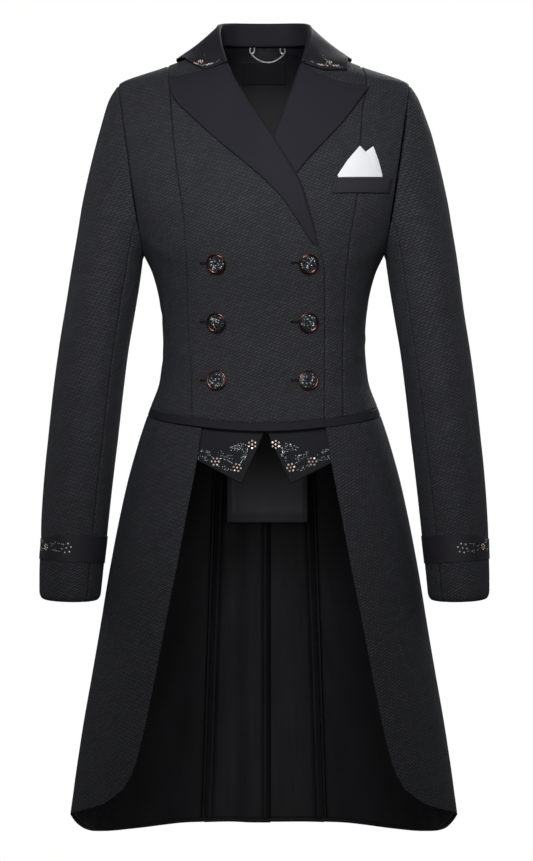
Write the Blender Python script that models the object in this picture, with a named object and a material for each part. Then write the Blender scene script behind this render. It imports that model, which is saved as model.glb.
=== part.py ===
"""Riding show jacket: a double-breasted tailcoat, filled out as if worn, with no wearer.

Frame: metres, +Z up. The front faces -Y, so the wearer's right side is at -X. The origin is the middle of
the neck base, level with the tops of the shoulder seams, where the coat hangs from the wearer.

Every body panel is cut from one skin, a stack of horizontal sections from the neck down to the hem. A point
of the skin is given by its angle round the body (0 at centre front, 90 at the side, 180 at centre back, and
negative angles on the wearer's right) and by its height. Each panel is a wall between two offsets of the skin.
"""

import math
from collections import namedtuple

import bmesh
import bpy
import numpy as np

MM = 0.001

# ---------------------------------------------------------------- driving sizes, in metres
CLOTH = 2.0 * MM  # outer cloth
LINING = 1.2 * MM  # satin and lining
SEAM_GAP = 0.35 * MM  # between panels at a seam
LAYER_GAP = 0.7 * MM  # between cloths that lie on each other
OVER_LIFT = 6.6 * MM  # the right front's outer face where it crosses the left lapel
UNDER_LIFT = 2.9 * MM  # and lower down, where it crosses the left front alone
BAND_HEIGHT = 9.0 * MM  # narrow band below the bodice
HEM_Z = -1.006
WAIST_SIDE_Z = -0.4550
WAIST_DIP = (0.0220, 0.0040)  # how much lower the waist seam lies at centre front and centre back
LIFT_HEIGHTS = (-0.30, -0.22)  # where the right front passes from UNDER_LIFT to OVER_LIFT
LIFT_START = (0.068, 0.012)  # how far before the left front's edge the right front starts to rise and is up

NECK_X = 0.0660  # where the shoulder seam meets the neck
BACK_NECK_Z = 0.0115
SHOULDER_POINT = (0.187, -0.043)  # x and z of the top of the armhole
ARMPIT = (0.1545, -0.2597)  # x and z of its bottom

Section = namedtuple("Section", "z half_width front back shift square")
SECTIONS = (
    Section(0.020, 0.0450, 0.032, 0.060, 0.006, 2.0),
    Section(0.000, 0.0770, 0.050, 0.066, 0.006, 2.1),
    Section(-0.020, 0.1280, 0.064, 0.075, 0.006, 2.2),
    Section(-0.043, 0.1870, 0.078, 0.086, 0.005, 2.3),
    Section(-0.070, 0.1985, 0.091, 0.094, 0.004, 2.3),
    Section(-0.110, 0.2005, 0.108, 0.101, 0.003, 2.35),
    Section(-0.160, 0.1950, 0.124, 0.106, 0.002, 2.4),
    Section(-0.210, 0.1770, 0.131, 0.106, 0.000, 2.4),
    Section(-0.2597, 0.1545, 0.128, 0.101, 0.000, 2.35),
    Section(-0.286, 0.1423, 0.122, 0.097, 0.000, 2.3),
    Section(-0.324, 0.1333, 0.111, 0.092, 0.000, 2.3),
    Section(-0.372, 0.1293, 0.101, 0.088, 0.000, 2.3),
    Section(-0.420, 0.1333, 0.100, 0.090, 0.000, 2.3),
    Section(-0.459, 0.1468, 0.107, 0.099, 0.000, 2.3),
    Section(-0.497, 0.1596, 0.115, 0.111, 0.000, 2.3),
    Section(-0.555, 0.1756, 0.124, 0.130, 0.000, 2.3),
    Section(-0.651, 0.1949, 0.134, 0.155, 0.000, 2.35),
    Section(-0.759, 0.2122, 0.141, 0.174, 0.000, 2.35),
    Section(-0.882, 0.2327, 0.147, 0.192, 0.000, 2.35),
    Section(-0.974, 0.2455, 0.151, 0.203, 0.000, 2.35),
    Section(-1.020, 0.2515, 0.153, 0.208, 0.000, 2.35),
)

# Princess seams: how far each lies from the centre line.
Seam = namedtuple("Seam", "z right left back")
PRINCESS = (
    Seam(-0.015, 0.1236, 0.1236, 0.1236),
    Seam(-0.046, 0.1200, 0.1300, 0.1190),
    Seam(-0.080, 0.1175, 0.1250, 0.1140),
    Seam(-0.130, 0.1130, 0.1215, 0.1060),
    Seam(-0.190, 0.1050, 0.1175, 0.0960),
    Seam(-0.240, 0.0985, 0.1095, 0.0870),
    Seam(-0.300, 0.0960, 0.1035, 0.0720),
    Seam(-0.360, 0.0950, 0.1010, 0.0620),
    Seam(-0.420, 0.0915, 0.1000, 0.0585),
    Seam(-0.490, 0.0900, 0.1000, 0.0600),
)

# Front edges: the roll line from the neck down to the break, then the straight edge to the waist.
Edge = namedtuple("Edge", "z right left")
FRONT_EDGES = (
    Edge(-0.004, -0.0570, 0.0570),
    Edge(-0.020, -0.0465, 0.0470),
    Edge(-0.042, -0.0364, 0.0385),
    Edge(-0.075, -0.0168, 0.0265),
    Edge(-0.116, 0.0090, 0.0110),
    Edge(-0.140, 0.0245, -0.0010),
    Edge(-0.164, 0.0392, -0.0150),
    Edge(-0.182, 0.0474, -0.0260),
    Edge(-0.204, 0.0540, -0.0400),
    Edge(-0.222, 0.0596, -0.0510),
    Edge(-0.240, 0.0650, -0.0600),
    Edge(-0.259, 0.0690, -0.0680),
    Edge(-0.288, 0.0740, -0.0735),
    Edge(-0.360, 0.0745, -0.0740),
    Edge(-0.490, 0.0738, -0.0740),
)

# Lapels seen from the front: x and z of points along each edge, from the top down.
Spot = namedtuple("Spot", "x z")
RIGHT_LAPEL_OUTER = (
    Spot(-0.1195, -0.0410),
    Spot(-0.1165, -0.0570),
    Spot(-0.1090, -0.0710),
    Spot(-0.0932, -0.0875),
    Spot(-0.0625, -0.1166),
    Spot(-0.0365, -0.1406),
    Spot(-0.0016, -0.1712),
    Spot(0.0225, -0.1954),
    Spot(0.0400, -0.2200),
    Spot(0.0520, -0.2385),
    Spot(0.0595, -0.2500),
)
LEFT_LAPEL_OUTER = (
    Spot(0.1311, -0.0518),
    Spot(0.1190, -0.0690),
    Spot(0.1007, -0.0943),
    Spot(0.0782, -0.1196),
    Spot(0.0559, -0.1434),
    Spot(0.0392, -0.1636),
    Spot(0.0200, -0.1830),
)
BREAK_Z = -0.2590  # where the right front's edge turns straight down
LAPEL_TOP = -0.0240  # height where both roll lines start
LAPEL_ENDS = {"right": -0.2515, "left": -0.1680}
TRIM_START = (0.006, 0.020)  # depths below the neck where the front's trim starts and is full
TRIM_Z = -0.2528  # the front's row just above it
TRIM_ENDS = {"right": (BREAK_Z, TRIM_Z), "left": (-0.2060, -0.1715)}  # heights of no trim and full trim
ROLL_SPAN = {"right": (-0.300, -0.040), "left": (-0.115, -0.040)}  # heights where each fold is flat and full
GORGE_GAP = 1.2 * MM  # between the collar's front end and the lapel's top edge
LAPEL_GAP = 0.9 * MM  # between the front and the lapel on it
FOLD_TRIM = 6.4 * MM  # how far the front's cut edge stays inside the lapel's fold
RIGHT_NOTCH = Spot(-0.0761, -0.0310)
LEFT_NOTCH = Spot(0.0740, -0.0330)
ROLL_WIDTH = 4.0 * MM  # from the roll line to where the lapel lies flat
ROLL_HEIGHT = 5.0 * MM  # how far the lapel's fold stands off the chest at the neck

# Collar, one side, from centre back to the front end. The fold and the middle of the leaf are points in
# space; the neck seam and the leaf's outer edge lie on the skin, given by angle and height. The leaf is bent
# from its fold to its edge, but runs straight to the notch and on to its tip at the front end.
Collar = namedtuple("Collar", "fold middle seam edge bend")
COLLAR = (
    Collar((0.0000, 0.0640, 0.0420), (0.0000, 0.0800, 0.0140), (180, 0.0120), (180, -0.0160), 1),
    Collar((0.0300, 0.0610, 0.0420), (0.0370, 0.0760, 0.0140), (156, 0.0115), (157, -0.0165), 1),
    Collar((0.0480, 0.0460, 0.0405), (0.0650, 0.0600, 0.0130), (132, 0.0105), (134, -0.0180), 1),
    Collar((0.0580, 0.0220, 0.0360), (0.0835, 0.0340, 0.0120), (106, 0.0075), (110, -0.0170), 1),
    Collar((0.0590, -0.0040, 0.0260), (0.0870, 0.0060, 0.0080), (88, 0.0050), (95, -0.0135), 1),
    Collar((0.0570, -0.0280, 0.0120), (0.0855, -0.0230, -0.0050), (70, 0.0010), (86, -0.0125), 1),
    Collar((0.0530, -0.0490, -0.0050), (0.0820, -0.0460, -0.0180), (51, -0.0115), (80, -0.0165), 1),
    Collar((0.0493, -0.0615, -0.0172), (0.0765, -0.0610, -0.0287), (41, -0.0220), (75, -0.0210), 0),
)
COLLAR_FOLD_RADIUS = 2.4 * MM
COLLAR_LIFT = 4.6 * MM  # the leaf's edge above the shoulder

# Sleeve rings from the armhole to the cuff: ends of each ring seen from the front, and depths.
Ring = namedtuple("Ring", "inner_x inner_z outer_x outer_z front back centre_y")
SLEEVE = (
    Ring(0.15465, -0.25972, 0.18715, -0.04302, 0.0700, 0.0700, 0.002),
    Ring(0.1556, -0.2626, 0.1985, -0.0615, 0.0700, 0.0700, 0.002),
    Ring(0.1572, -0.2665, 0.2100, -0.0990, 0.0690, 0.0690, 0.002),
    Ring(0.1579, -0.2710, 0.2208, -0.1400, 0.0680, 0.0680, 0.002),
    Ring(0.1588, -0.2770, 0.2310, -0.1850, 0.0665, 0.0665, 0.002),
    Ring(0.1602, -0.2860, 0.2400, -0.2330, 0.0650, 0.0655, 0.001),
    Ring(0.1625, -0.3000, 0.2492, -0.2800, 0.0635, 0.0645, 0.000),
    Ring(0.1692, -0.3350, 0.2575, -0.3250, 0.0615, 0.0630, -0.002),
    Ring(0.1790, -0.3850, 0.2670, -0.3750, 0.0590, 0.0610, -0.004),
    Ring(0.1862, -0.4350, 0.2748, -0.4250, 0.0565, 0.0590, -0.007),
    Ring(0.1926, -0.4850, 0.2812, -0.4760, 0.0545, 0.0565, -0.012),
    Ring(0.1988, -0.5350, 0.2868, -0.5270, 0.0525, 0.0540, -0.018),
    Ring(0.2044, -0.5850, 0.2908, -0.5780, 0.0505, 0.0515, -0.025),
    Ring(0.2080, -0.6200, 0.2926, -0.6140, 0.0490, 0.0500, -0.030),
    Ring(0.2112, -0.6540, 0.2936, -0.6480, 0.0475, 0.0485, -0.034),
    Ring(0.2150, -0.7020, 0.2925, -0.7000, 0.0455, 0.0460, -0.040),
)
SLEEVE_FRONT_SEAM = 128.0  # angle round the sleeve, from its outside towards the front
SLEEVE_BACK_SEAM = 248.0
CUFF_BAND = (13.0, 14.0)  # the rings that it lies between, counted from the armhole
ARMHOLE_REACH = 5.0  # rings over which the armhole's form passes into the sleeve's

# Tails: the cut-away front edge, then the hem with its rounded front corner.
TAIL_EDGE = (
    Spot(0.0790, -0.4800),
    Spot(0.0842, -0.5165),
    Spot(0.0978, -0.5890),
    Spot(0.1085, -0.6470),
    Spot(0.1205, -0.7070),
    Spot(0.1390, -0.8155),
    Spot(0.1540, -0.8830),
    Spot(0.1660, -0.9180),
    Spot(0.1790, -0.9370),
)
Hem = namedtuple("Hem", "angle z")
TAIL_HEM = (
    Hem(58.5, -0.9370),
    Hem(64.5, -0.9510),
    Hem(71.5, -0.9600),
    Hem(80.0, -0.9670),
    Hem(90.0, -0.9760),
    Hem(100.0, -0.9890),
    Hem(112.0, -1.0010),
    Hem(126.0, HEM_Z),
    Hem(200.0, HEM_Z),
)
PLEAT = (Spot(0.058, -0.440), Spot(0.063, -0.540), Spot(0.080, -1.010))
PLEAT_UNDERLAP = 0.020
PLEAT_OPENING = 0.004
RIGHT_VENT_X, LEFT_VENT_X = 0.008, -0.012  # where each tail ends at centre back
VENT_STEP = (0.045, 0.016)  # from centre back: where the right tail starts to pass under the left one

BUTTON_ROWS = (-0.277, -0.350, -0.4227)
BUTTON_COLUMNS = (-0.0612, 0.0548)
BUTTON_PROFILE = (  # radius and height above the front, in millimetres: shank, back, rim and face
    (0.0, 0.6),
    (4.0, 0.6),
    (4.2, 1.6),
    (12.5, 2.8),
    (12.5, 4.4),
    (11.6, 5.2),
    (10.3, 4.5),
    (0.0, 5.4),
)

VEST_POINTS = {  # inner top, tip, outer bottom, outer top
    "right": (Spot(0.0015, -0.483), Spot(-0.0290, -0.5500), Spot(-0.0960, -0.5150), Spot(-0.0920, -0.478)),
    "left": (Spot(0.0032, -0.483), Spot(0.0345, -0.5500), Spot(0.0990, -0.5180), Spot(0.0920, -0.478)),
}
VEST_TUCK, VEST_GAP = 5.0 * MM, 1.8 * MM  # their top below the waist seam, and room to the lining
INNER_TAB_HALF_WIDTH = 0.052
INNER_TAB_X = 0.0042
Drop = namedtuple("Drop", "z y")
INNER_TAB = (
    Drop(-0.446, 0.0921),
    Drop(-0.456, 0.0880),
    Drop(-0.470, 0.0870),
    Drop(-0.520, 0.0890),
    Drop(-0.605, 0.0960),
)
TAB_FOLLOWS = (1.0, 1.0, 0.8, 0.3, 0.0)  # how far each row of it follows the curve of the back's waist
TAB_BOW = 4.0 * MM
TAB_COLS = 6

WELT = (Spot(0.0889, -0.1696), Spot(0.1590, -0.1671), Spot(0.1565, -0.1852), Spot(0.0852, -0.1877))
SQUARE_TOP = (  # top edge of the white pocket square, with its two peaks
    Spot(0.0920, -0.1650),
    Spot(0.1050, -0.1450),
    Spot(0.1201, -0.1276),
    Spot(0.1273, -0.1352),
    Spot(0.1374, -0.1276),
    Spot(0.1440, -0.1450),
    Spot(0.1488, -0.1630),
)
SQUARE_BOTTOM_Z = -0.1755
WELT_STAND = 3.4 * MM  # how far its open top edge stands off the front

NECK_LINING_X = (0.058, 0.100)  # half widths at its top and bottom
NECK_LINING_Z = (0.0095, 0.0020, -0.200)  # its top at centre back and at its ends, and its bottom
LABEL_HALF_WIDTH, LABEL_TOP, LABEL_BOTTOM = 0.029, -0.004, -0.032
LABEL_THICKNESS = 0.8 * MM
CHAIN_END_X = (-0.0175, 0.0273)
CHAIN_END_Z = 0.0050
CHAIN_START = 5.6 * MM  # the chain's ends below the middle of the horseshoes
CHAIN_SAG = 0.0150
CHAIN_RADIUS = 0.7 * MM
SHOE_HALF_WIDTH, SHOE_HALF_HEIGHT, SHOE_RADIUS = 3.4 * MM, 4.2 * MM, 0.9 * MM


# ---------------------------------------------------------------- curves and the skin
def through(knots, values, at):
    """A smooth curve through the knots that never overshoots them, read at each point of at."""
    x, y, at = np.asarray(knots, float), np.asarray(values, float), np.asarray(at, float)
    if x[0] > x[-1]:
        x, y = x[::-1], y[::-1]
    step, rise = np.diff(x), np.diff(y)
    slope = rise / step
    tangent = np.concatenate([[slope[0]], np.zeros(len(slope) - 1), [slope[-1]]])
    same_way = slope[:-1] * slope[1:] > 0
    weight_a, weight_b = 2 * step[1:] + step[:-1], step[1:] + 2 * step[:-1]
    with np.errstate(divide="ignore", invalid="ignore"):
        harmonic = (weight_a + weight_b) / (weight_a / slope[:-1] + weight_b / slope[1:])
    tangent[1:-1] = np.where(same_way, harmonic, 0.0)
    i = np.clip(np.searchsorted(x, at) - 1, 0, len(step) - 1)
    t = np.clip((at - x[i]) / step[i], 0.0, 1.0)
    return (
        y[i] * (1 + 2 * t) * (1 - t) ** 2
        + tangent[i] * step[i] * t * (1 - t) ** 2
        + y[i + 1] * t * t * (3 - 2 * t)
        + tangent[i + 1] * step[i] * t * t * (t - 1)
    )


def column(rows, name, at, key="z"):
    return through([getattr(r, key) for r in rows], [getattr(r, name) for r in rows], at)


def smoothstep(low, high, value):
    t = np.clip((np.asarray(value, float) - low) / (high - low), 0.0, 1.0)
    return t * t * (3 - 2 * t)


def bare_skin(angle, z):
    """Points of the skin itself, at these angles in radians and these heights."""
    angle, z = np.broadcast_arrays(np.asarray(angle, float), np.asarray(z, float))
    square = column(SECTIONS, "square", z)
    forward = np.cos(angle)
    depth = np.where(forward > 0, column(SECTIONS, "front", z), column(SECTIONS, "back", z))
    across = np.abs(np.sin(angle)) / column(SECTIONS, "half_width", z)
    radius = ((np.abs(forward) / depth) ** square + across**square) ** (-1 / square)
    return np.stack([radius * np.sin(angle), column(SECTIONS, "shift", z) - radius * forward, z], axis=-1)


def offset(surface, a, b, out):
    """Points of surface(a, b), moved out along its normal."""
    da, db = 2e-3, 2e-4
    along_a = surface(a + da, b) - surface(a - da, b)
    along_b = surface(a, b + db) - surface(a, b - db)
    normal = np.cross(along_a, along_b)
    normal /= np.maximum(np.linalg.norm(normal, axis=-1, keepdims=True), 1e-12)
    return surface(a, b) + normal * np.asarray(out, float)[..., None]


def skin(angle, z, out=0.0):
    return offset(bare_skin, np.asarray(angle, float), np.asarray(z, float), out)


def front_angle(x, z):
    """The angle of the skin's front point at this x and height."""
    half, square = column(SECTIONS, "half_width", z), column(SECTIONS, "square", z)
    share = np.clip(np.abs(x) / half, 0.0, 1.0)
    return np.arctan2(x, column(SECTIONS, "front", z) * (1 - share**square) ** (1 / square))


def back_angle(x, z):
    """The angle of the skin's back point at this x: between 90 and 270 degrees, positive x below 180."""
    half, square = column(SECTIONS, "half_width", z), column(SECTIONS, "square", z)
    share = np.clip(np.abs(x) / half, 0.0, 1.0)
    return math.pi - np.arctan2(x, column(SECTIONS, "back", z) * (1 - share**square) ** (1 / square))


def waist_z(angle):
    """The waist seam dips at the centre front."""
    forward = np.cos(angle)
    return WAIST_SIDE_Z - WAIST_DIP[0] * np.clip(forward, 0, 1) ** 1.2 - WAIST_DIP[1] * np.clip(-forward, 0, 1)


def front_lift(x, z):
    """How far the right front stands off the skin, where it crosses the left one."""
    height = UNDER_LIFT + (OVER_LIFT - UNDER_LIFT) * smoothstep(*LIFT_HEIGHTS, z)
    left_edge = column(FRONT_EDGES, "left", z)
    return height * smoothstep(left_edge - LIFT_START[0], left_edge - LIFT_START[1], x)


# ---------------------------------------------------------------- solids
def finish(name, mesh, colour, roughness=0.85, metallic=0.0, smooth=True):
    """One closed mesh as a named object with its own material."""
    work = bmesh.new()
    work.from_mesh(mesh)
    bmesh.ops.recalc_face_normals(work, faces=work.faces)
    work.to_mesh(mesh)
    work.free()
    if smooth:
        mesh.shade_smooth()
        mesh.set_sharp_from_angle(angle=math.radians(40))
    material = bpy.data.materials.new(name)
    material.use_nodes = True
    shader = material.node_tree.nodes["Principled BSDF"]
    shader.inputs["Base Color"].default_value = (*colour, 1.0)
    shader.inputs["Roughness"].default_value = roughness
    shader.inputs["Metallic"].default_value = metallic
    mesh.materials.append(material)
    part = bpy.data.objects.new(name, mesh)
    bpy.context.scene.collection.objects.link(part)
    return part


def from_faces(name, points, faces, *look, **more):
    mesh = bpy.data.meshes.new(name)
    mesh.from_pydata([tuple(p) for p in points], [], faces)
    return finish(name, mesh, *look, **more)


def wall(name, outer, inner, *look, ring=False, **more):
    """A wall between two grids of points of the same shape. A ring closes on itself along its columns."""
    rows, cols = outer.shape[:2]
    points = np.concatenate([outer.reshape(-1, 3), inner.reshape(-1, 3)])
    under = rows * cols
    steps = cols if ring else cols - 1

    def two_triangles(a, b, c, d):
        return [[a, b, c], [a, c, d]]

    faces = []
    for r in range(rows - 1):
        for c in range(steps):
            after = (c + 1) % cols
            corners = [r * cols + c, r * cols + after, (r + 1) * cols + after, (r + 1) * cols + c]
            for face in two_triangles(*corners):
                faces.append(face)
                faces.append([under + i for i in reversed(face)])
    for c in range(steps):
        after = (c + 1) % cols
        for r in (0, (rows - 1) * cols):
            faces += two_triangles(r + c, r + after, under + r + after, under + r + c)
    if not ring:
        for r in range(rows - 1):
            for c in (0, cols - 1):
                a, b = r * cols + c, (r + 1) * cols + c
                faces += two_triangles(a, b, under + b, under + a)
    return from_faces(name, points, faces, *look, **more)


def lathe(name, profile, place, normal, segments, *look, **more):
    """A turned solid: profile rows are (radius, height) from the bottom centre to the top centre."""
    normal = np.asarray(normal, float) / np.linalg.norm(normal)
    side = np.cross(normal, (0.0, 0.0, 1.0))
    side /= np.linalg.norm(side)
    up = np.cross(side, normal)
    points = [place + normal * profile[0][1]]
    for radius, height in profile[1:-1]:
        for k in range(segments):
            turn = 2 * math.pi * k / segments
            points.append(place + normal * height + radius * (side * math.cos(turn) + up * math.sin(turn)))
    points.append(place + normal * profile[-1][1])
    rings, last = len(profile) - 2, len(points) - 1
    faces = []
    for k in range(segments):
        after = (k + 1) % segments
        faces.append([0, 1 + after, 1 + k])
        for r in range(rings - 1):
            low, high = 1 + r * segments, 1 + (r + 1) * segments
            faces.append([low + k, low + after, high + after, high + k])
        top = 1 + (rings - 1) * segments
        faces.append([top + k, top + after, last])
    return from_faces(name, points, faces, *look, **more)


def tube(name, line, radius, sides, *look, **more):
    """A closed round tube along a line of points."""
    line = np.asarray(line, float)
    ahead = np.gradient(line, axis=0)
    ahead /= np.linalg.norm(ahead, axis=1, keepdims=True)
    side = np.cross(ahead, (0.0, 1.0, 0.0))
    side /= np.linalg.norm(side, axis=1, keepdims=True)
    up = np.cross(side, ahead)
    turn = np.arange(sides) * 2 * math.pi / sides
    rings = (
        line[:, None]
        + radius * np.cos(turn)[None, :, None] * side[:, None]
        + radius * np.sin(turn)[None, :, None] * up[:, None]
    )
    faces = [list(range(sides)), list(range(len(line) * sides - sides, len(line) * sides))]
    for r in range(len(line) - 1):
        for k in range(sides):
            after = (k + 1) % sides
            low, high = r * sides, (r + 1) * sides
            faces.append([low + k, low + after, high + after, high + k])
    return from_faces(name, rings.reshape(-1, 3), faces, *look, **more)


# ---------------------------------------------------------------- patches between four edges
def coons(top, bottom, left, right):
    """A grid that fills four edges, each a list of 2-D points. Rows run from top to bottom."""
    top, bottom, left, right = (np.asarray(e, float) for e in (top, bottom, left, right))
    u = np.linspace(0, 1, len(top))[None, :, None]
    v = np.linspace(0, 1, len(left))[:, None, None]
    across = (1 - v) * top[None] + v * bottom[None]
    down = (1 - u) * left[:, None] + u * right[:, None]
    corners = (1 - u) * (1 - v) * top[0] + u * (1 - v) * top[-1] + (1 - u) * v * bottom[0] + u * v * bottom[-1]
    return across + down - corners


def pairs(a, b):
    return np.stack(np.broadcast_arrays(np.asarray(a, float), np.asarray(b, float)), axis=-1)


def along(spots, count, keys=("x", "z"), crowd=1.0):
    """Count points of a smooth line through the spots, evenly spaced or crowded towards its end."""
    table = np.array([[getattr(s, k) for k in keys] for s in spots], float)
    travelled = np.concatenate([[0], np.cumsum(np.linalg.norm(np.diff(table, axis=0), axis=1))])
    at = travelled[-1] * (1 - (1 - np.linspace(0, 1, count)) ** crowd)
    return np.stack([through(travelled, table[:, k], at) for k in range(2)], axis=-1)


def pull_in(grid, left=0.0, right=0.0, top=0.0, bottom=0.0):
    """Moves the grid's border points towards their inner neighbours, so that a seam stays open."""
    moved = grid.copy()
    for amount, edge, inner in (
        (left, np.s_[:, 0], np.s_[:, 1]),
        (right, np.s_[:, -1], np.s_[:, -2]),
        (top, np.s_[0], np.s_[1]),
        (bottom, np.s_[-1], np.s_[-2]),
    ):
        step = grid[inner] - grid[edge]
        moved[edge] += amount * step / np.maximum(np.linalg.norm(step, axis=-1, keepdims=True), 1e-9)
    return moved


def panel(name, domain, out, thick, *look, trims=None, side=1, **more):
    """A wall on the skin over a grid of (angle, z), with its outer face at this offset."""
    trims = trims or {}
    angle, z = domain[..., 0] * side, domain[..., 1]
    outer = pull_in(skin(angle, z, np.broadcast_to(out, angle.shape)), **trims)
    inner = pull_in(skin(angle, z, np.broadcast_to(out, angle.shape) - thick), **trims)
    return wall(name, outer, inner, *look, **more)


# ---------------------------------------------------------------- looks
CLOTH_BLACK = (0.020, 0.021, 0.025)
SMOOTH_BLACK = (0.024, 0.024, 0.030)
SATIN_BLACK = (0.006, 0.006, 0.007)
LABEL_BLACK = (0.012, 0.012, 0.014)
WHITE = (0.85, 0.86, 0.90)
ROSE_GOLD = (0.45, 0.16, 0.11)
SILVER = (0.70, 0.70, 0.72)

SIDES = (("right", -1), ("left", 1))


# ---------------------------------------------------------------- bodice
def armhole_x(z):
    share = (z - ARMPIT[1]) / (SHOULDER_POINT[1] - ARMPIT[1])
    return ARMPIT[0] + (SHOULDER_POINT[0] - ARMPIT[0]) * share


ARMHOLE_ROWS, WAIST_ROWS = 11, 10  # rows down to the armpit, and from there to the waist


def bodice_rows():
    """Shares of the way from the shoulder point to the waist: fine at both ends of the armhole."""
    middle = (SHOULDER_POINT[1] + ARMPIT[1]) / 2
    half = (SHOULDER_POINT[1] - ARMPIT[1]) / 2
    armhole = middle + half * np.cos(np.linspace(0, math.pi, ARMHOLE_ROWS))
    below = np.linspace(ARMPIT[1], WAIST_SIDE_Z, WAIST_ROWS)[1:]
    z = np.concatenate([armhole, below])
    return (z[0] - z) / (z[0] - z[-1])


ROWS = bodice_rows()


def shoulder_height(x):
    """Height of the shoulder line at this x."""
    heights = np.linspace(0.020, SHOULDER_POINT[1], 4001)
    return float(np.interp(x, column(SECTIONS, "half_width", heights), heights))


def down_to_waist(angle_at, start):
    """A line from a point on the shoulder down to the waist seam, as (angle, z) at the bodice's rows."""
    end = WAIST_SIDE_Z
    for _ in range(8):
        end = float(waist_z(angle_at(end)))
    z = start + (end - start) * ROWS
    return pairs(angle_at(z), z)


def princess(name, angle_of):
    """A princess seam from the ridge of the shoulder to the waist, as (angle, z)."""
    start = PRINCESS[0].z
    for _ in range(12):
        start = shoulder_height(float(column(PRINCESS, name, start)))
    line = down_to_waist(lambda z: angle_of(column(PRINCESS, name, z), z), start)
    line[0, 0] = math.pi / 2
    return line


def side_line(back):
    """The armhole's edge and the side seam below it, as (angle, z)."""
    waist = float(waist_z(math.pi / 2))
    z = SHOULDER_POINT[1] + (waist - SHOULDER_POINT[1]) * ROWS
    above = z > ARMPIT[1] + 1e-6
    x = armhole_x(z)
    angle = back_angle(x, z) if back else front_angle(x, z)
    return pairs(np.where(above, angle, math.pi / 2), z)


def shoulder_line(x_from, x_to, count):
    """Points on the ridge of the shoulder, as (angle, z)."""
    return [(math.pi / 2, shoulder_height(x)) for x in np.linspace(x_from, x_to, count)]


def waist_line(from_angle, to_angle, count):
    angle = np.linspace(from_angle, to_angle, count)
    return pairs(angle, waist_z(angle))


def make_side_panels():
    for name, side in SIDES:
        for where, seam, cols in (
            ("front", princess(name, front_angle), 7),
            ("back", princess("back", back_angle), 6),
        ):
            edge = side_line(where == "back")
            top_x = abs(bare_skin(seam[0, 0], seam[0, 1])[0])
            domain = coons(
                shoulder_line(top_x, SHOULDER_POINT[0], cols),
                waist_line(seam[-1, 0], edge[-1, 0], cols),
                seam,
                edge,
            )
            trims = {"left": SEAM_GAP / 2, "right": SEAM_GAP / 2, "top": SEAM_GAP, "bottom": SEAM_GAP / 2}
            panel(f"{name}_side_{where}", domain, 0.0, CLOTH, CLOTH_BLACK, trims=trims, side=side)


def front_edge(name):
    """The front edge from the neck to the waist, as (signed angle, z)."""
    top, end = FRONT_EDGES[0].z, WAIST_SIDE_Z
    for _ in range(8):
        end = float(waist_z(front_angle(column(FRONT_EDGES, name, end), end)))
    z = np.interp(ROWS, (0.0, ROWS[ARMHOLE_ROWS - 2], ROWS[ARMHOLE_ROWS - 1], 1.0), (top, TRIM_Z, BREAK_Z, end))
    return pairs(front_angle(column(FRONT_EDGES, name, z), z), z)


def seen_flat(line):
    """A line given as (angle, z), as (x, z)."""
    return pairs(bare_skin(line[:, 0], line[:, 1])[:, 0], line[:, 1])


def make_fronts():
    shoulder_cols, neck_cols = 11, 2
    for name, side in SIDES:
        seam = seen_flat(princess(name, front_angle))
        edge = seen_flat(front_edge(name)) * (side, 1)
        shoulder = [(x, shoulder_height(x)) for x in np.linspace(seam[0, 0], NECK_X, shoulder_cols)]
        share = np.linspace(0, 1, neck_cols + 1)[1:, None]
        neck = shoulder[-1] + (edge[0] - shoulder[-1]) * share
        top = np.concatenate([shoulder, neck])
        waist = seen_flat(waist_line(front_angle(*seam[-1]), front_angle(*edge[-1]), len(top)))
        grid = coons(top, waist, seam, edge)
        x, z = grid[..., 0] * side, grid[..., 1]
        lift = front_lift(x, z) if name == "right" else 0.0
        under_lapel = smoothstep(*TRIM_ENDS[name], z[:, 0]) * smoothstep(*TRIM_START, -z[:, 0])
        trims = {
            "left": SEAM_GAP / 2,
            "right": FOLD_TRIM * under_lapel[:, None],
            "top": SEAM_GAP,
            "bottom": SEAM_GAP / 2,
        }
        domain = np.stack([front_angle(x, z), z], axis=-1)
        domain[0, :shoulder_cols, 0] = side * math.pi / 2
        panel(f"{name}_front", domain, lift, CLOTH, CLOTH_BLACK, trims=trims)


def neck_line(count):
    """The back neckline from the shoulder to centre back, as (x, z)."""
    x = NECK_X * np.cos(np.linspace(0, math.pi / 2, count))
    start = shoulder_height(NECK_X)
    return pairs(x, BACK_NECK_Z + (start - BACK_NECK_Z) * (x / NECK_X) ** 3)


def make_backs():
    shoulder_cols, neck_cols = 4, 4
    for name, side in SIDES:
        seam = seen_flat(princess("back", back_angle))
        shoulder = [(x, shoulder_height(x)) for x in np.linspace(seam[0, 0], NECK_X, shoulder_cols)]
        top = np.concatenate([shoulder[:-1], neck_line(neck_cols + 1)])
        centre_end = float(waist_z(math.pi))
        centre = pairs(0.0, top[-1, 1] + (centre_end - top[-1, 1]) * ROWS)
        waist = seen_flat(waist_line(back_angle(*seam[-1]), math.pi, len(top)))
        grid = coons(top, waist, seam, centre)
        domain = np.stack([back_angle(grid[..., 0], grid[..., 1]), grid[..., 1]], axis=-1)
        domain[0, :shoulder_cols, 0] = math.pi / 2
        trims = {"left": SEAM_GAP / 2, "right": SEAM_GAP / 2, "top": SEAM_GAP, "bottom": SEAM_GAP / 2}
        panel(f"{name}_back", domain, 0.0, CLOTH, CLOTH_BLACK, trims=trims, side=side)


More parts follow.
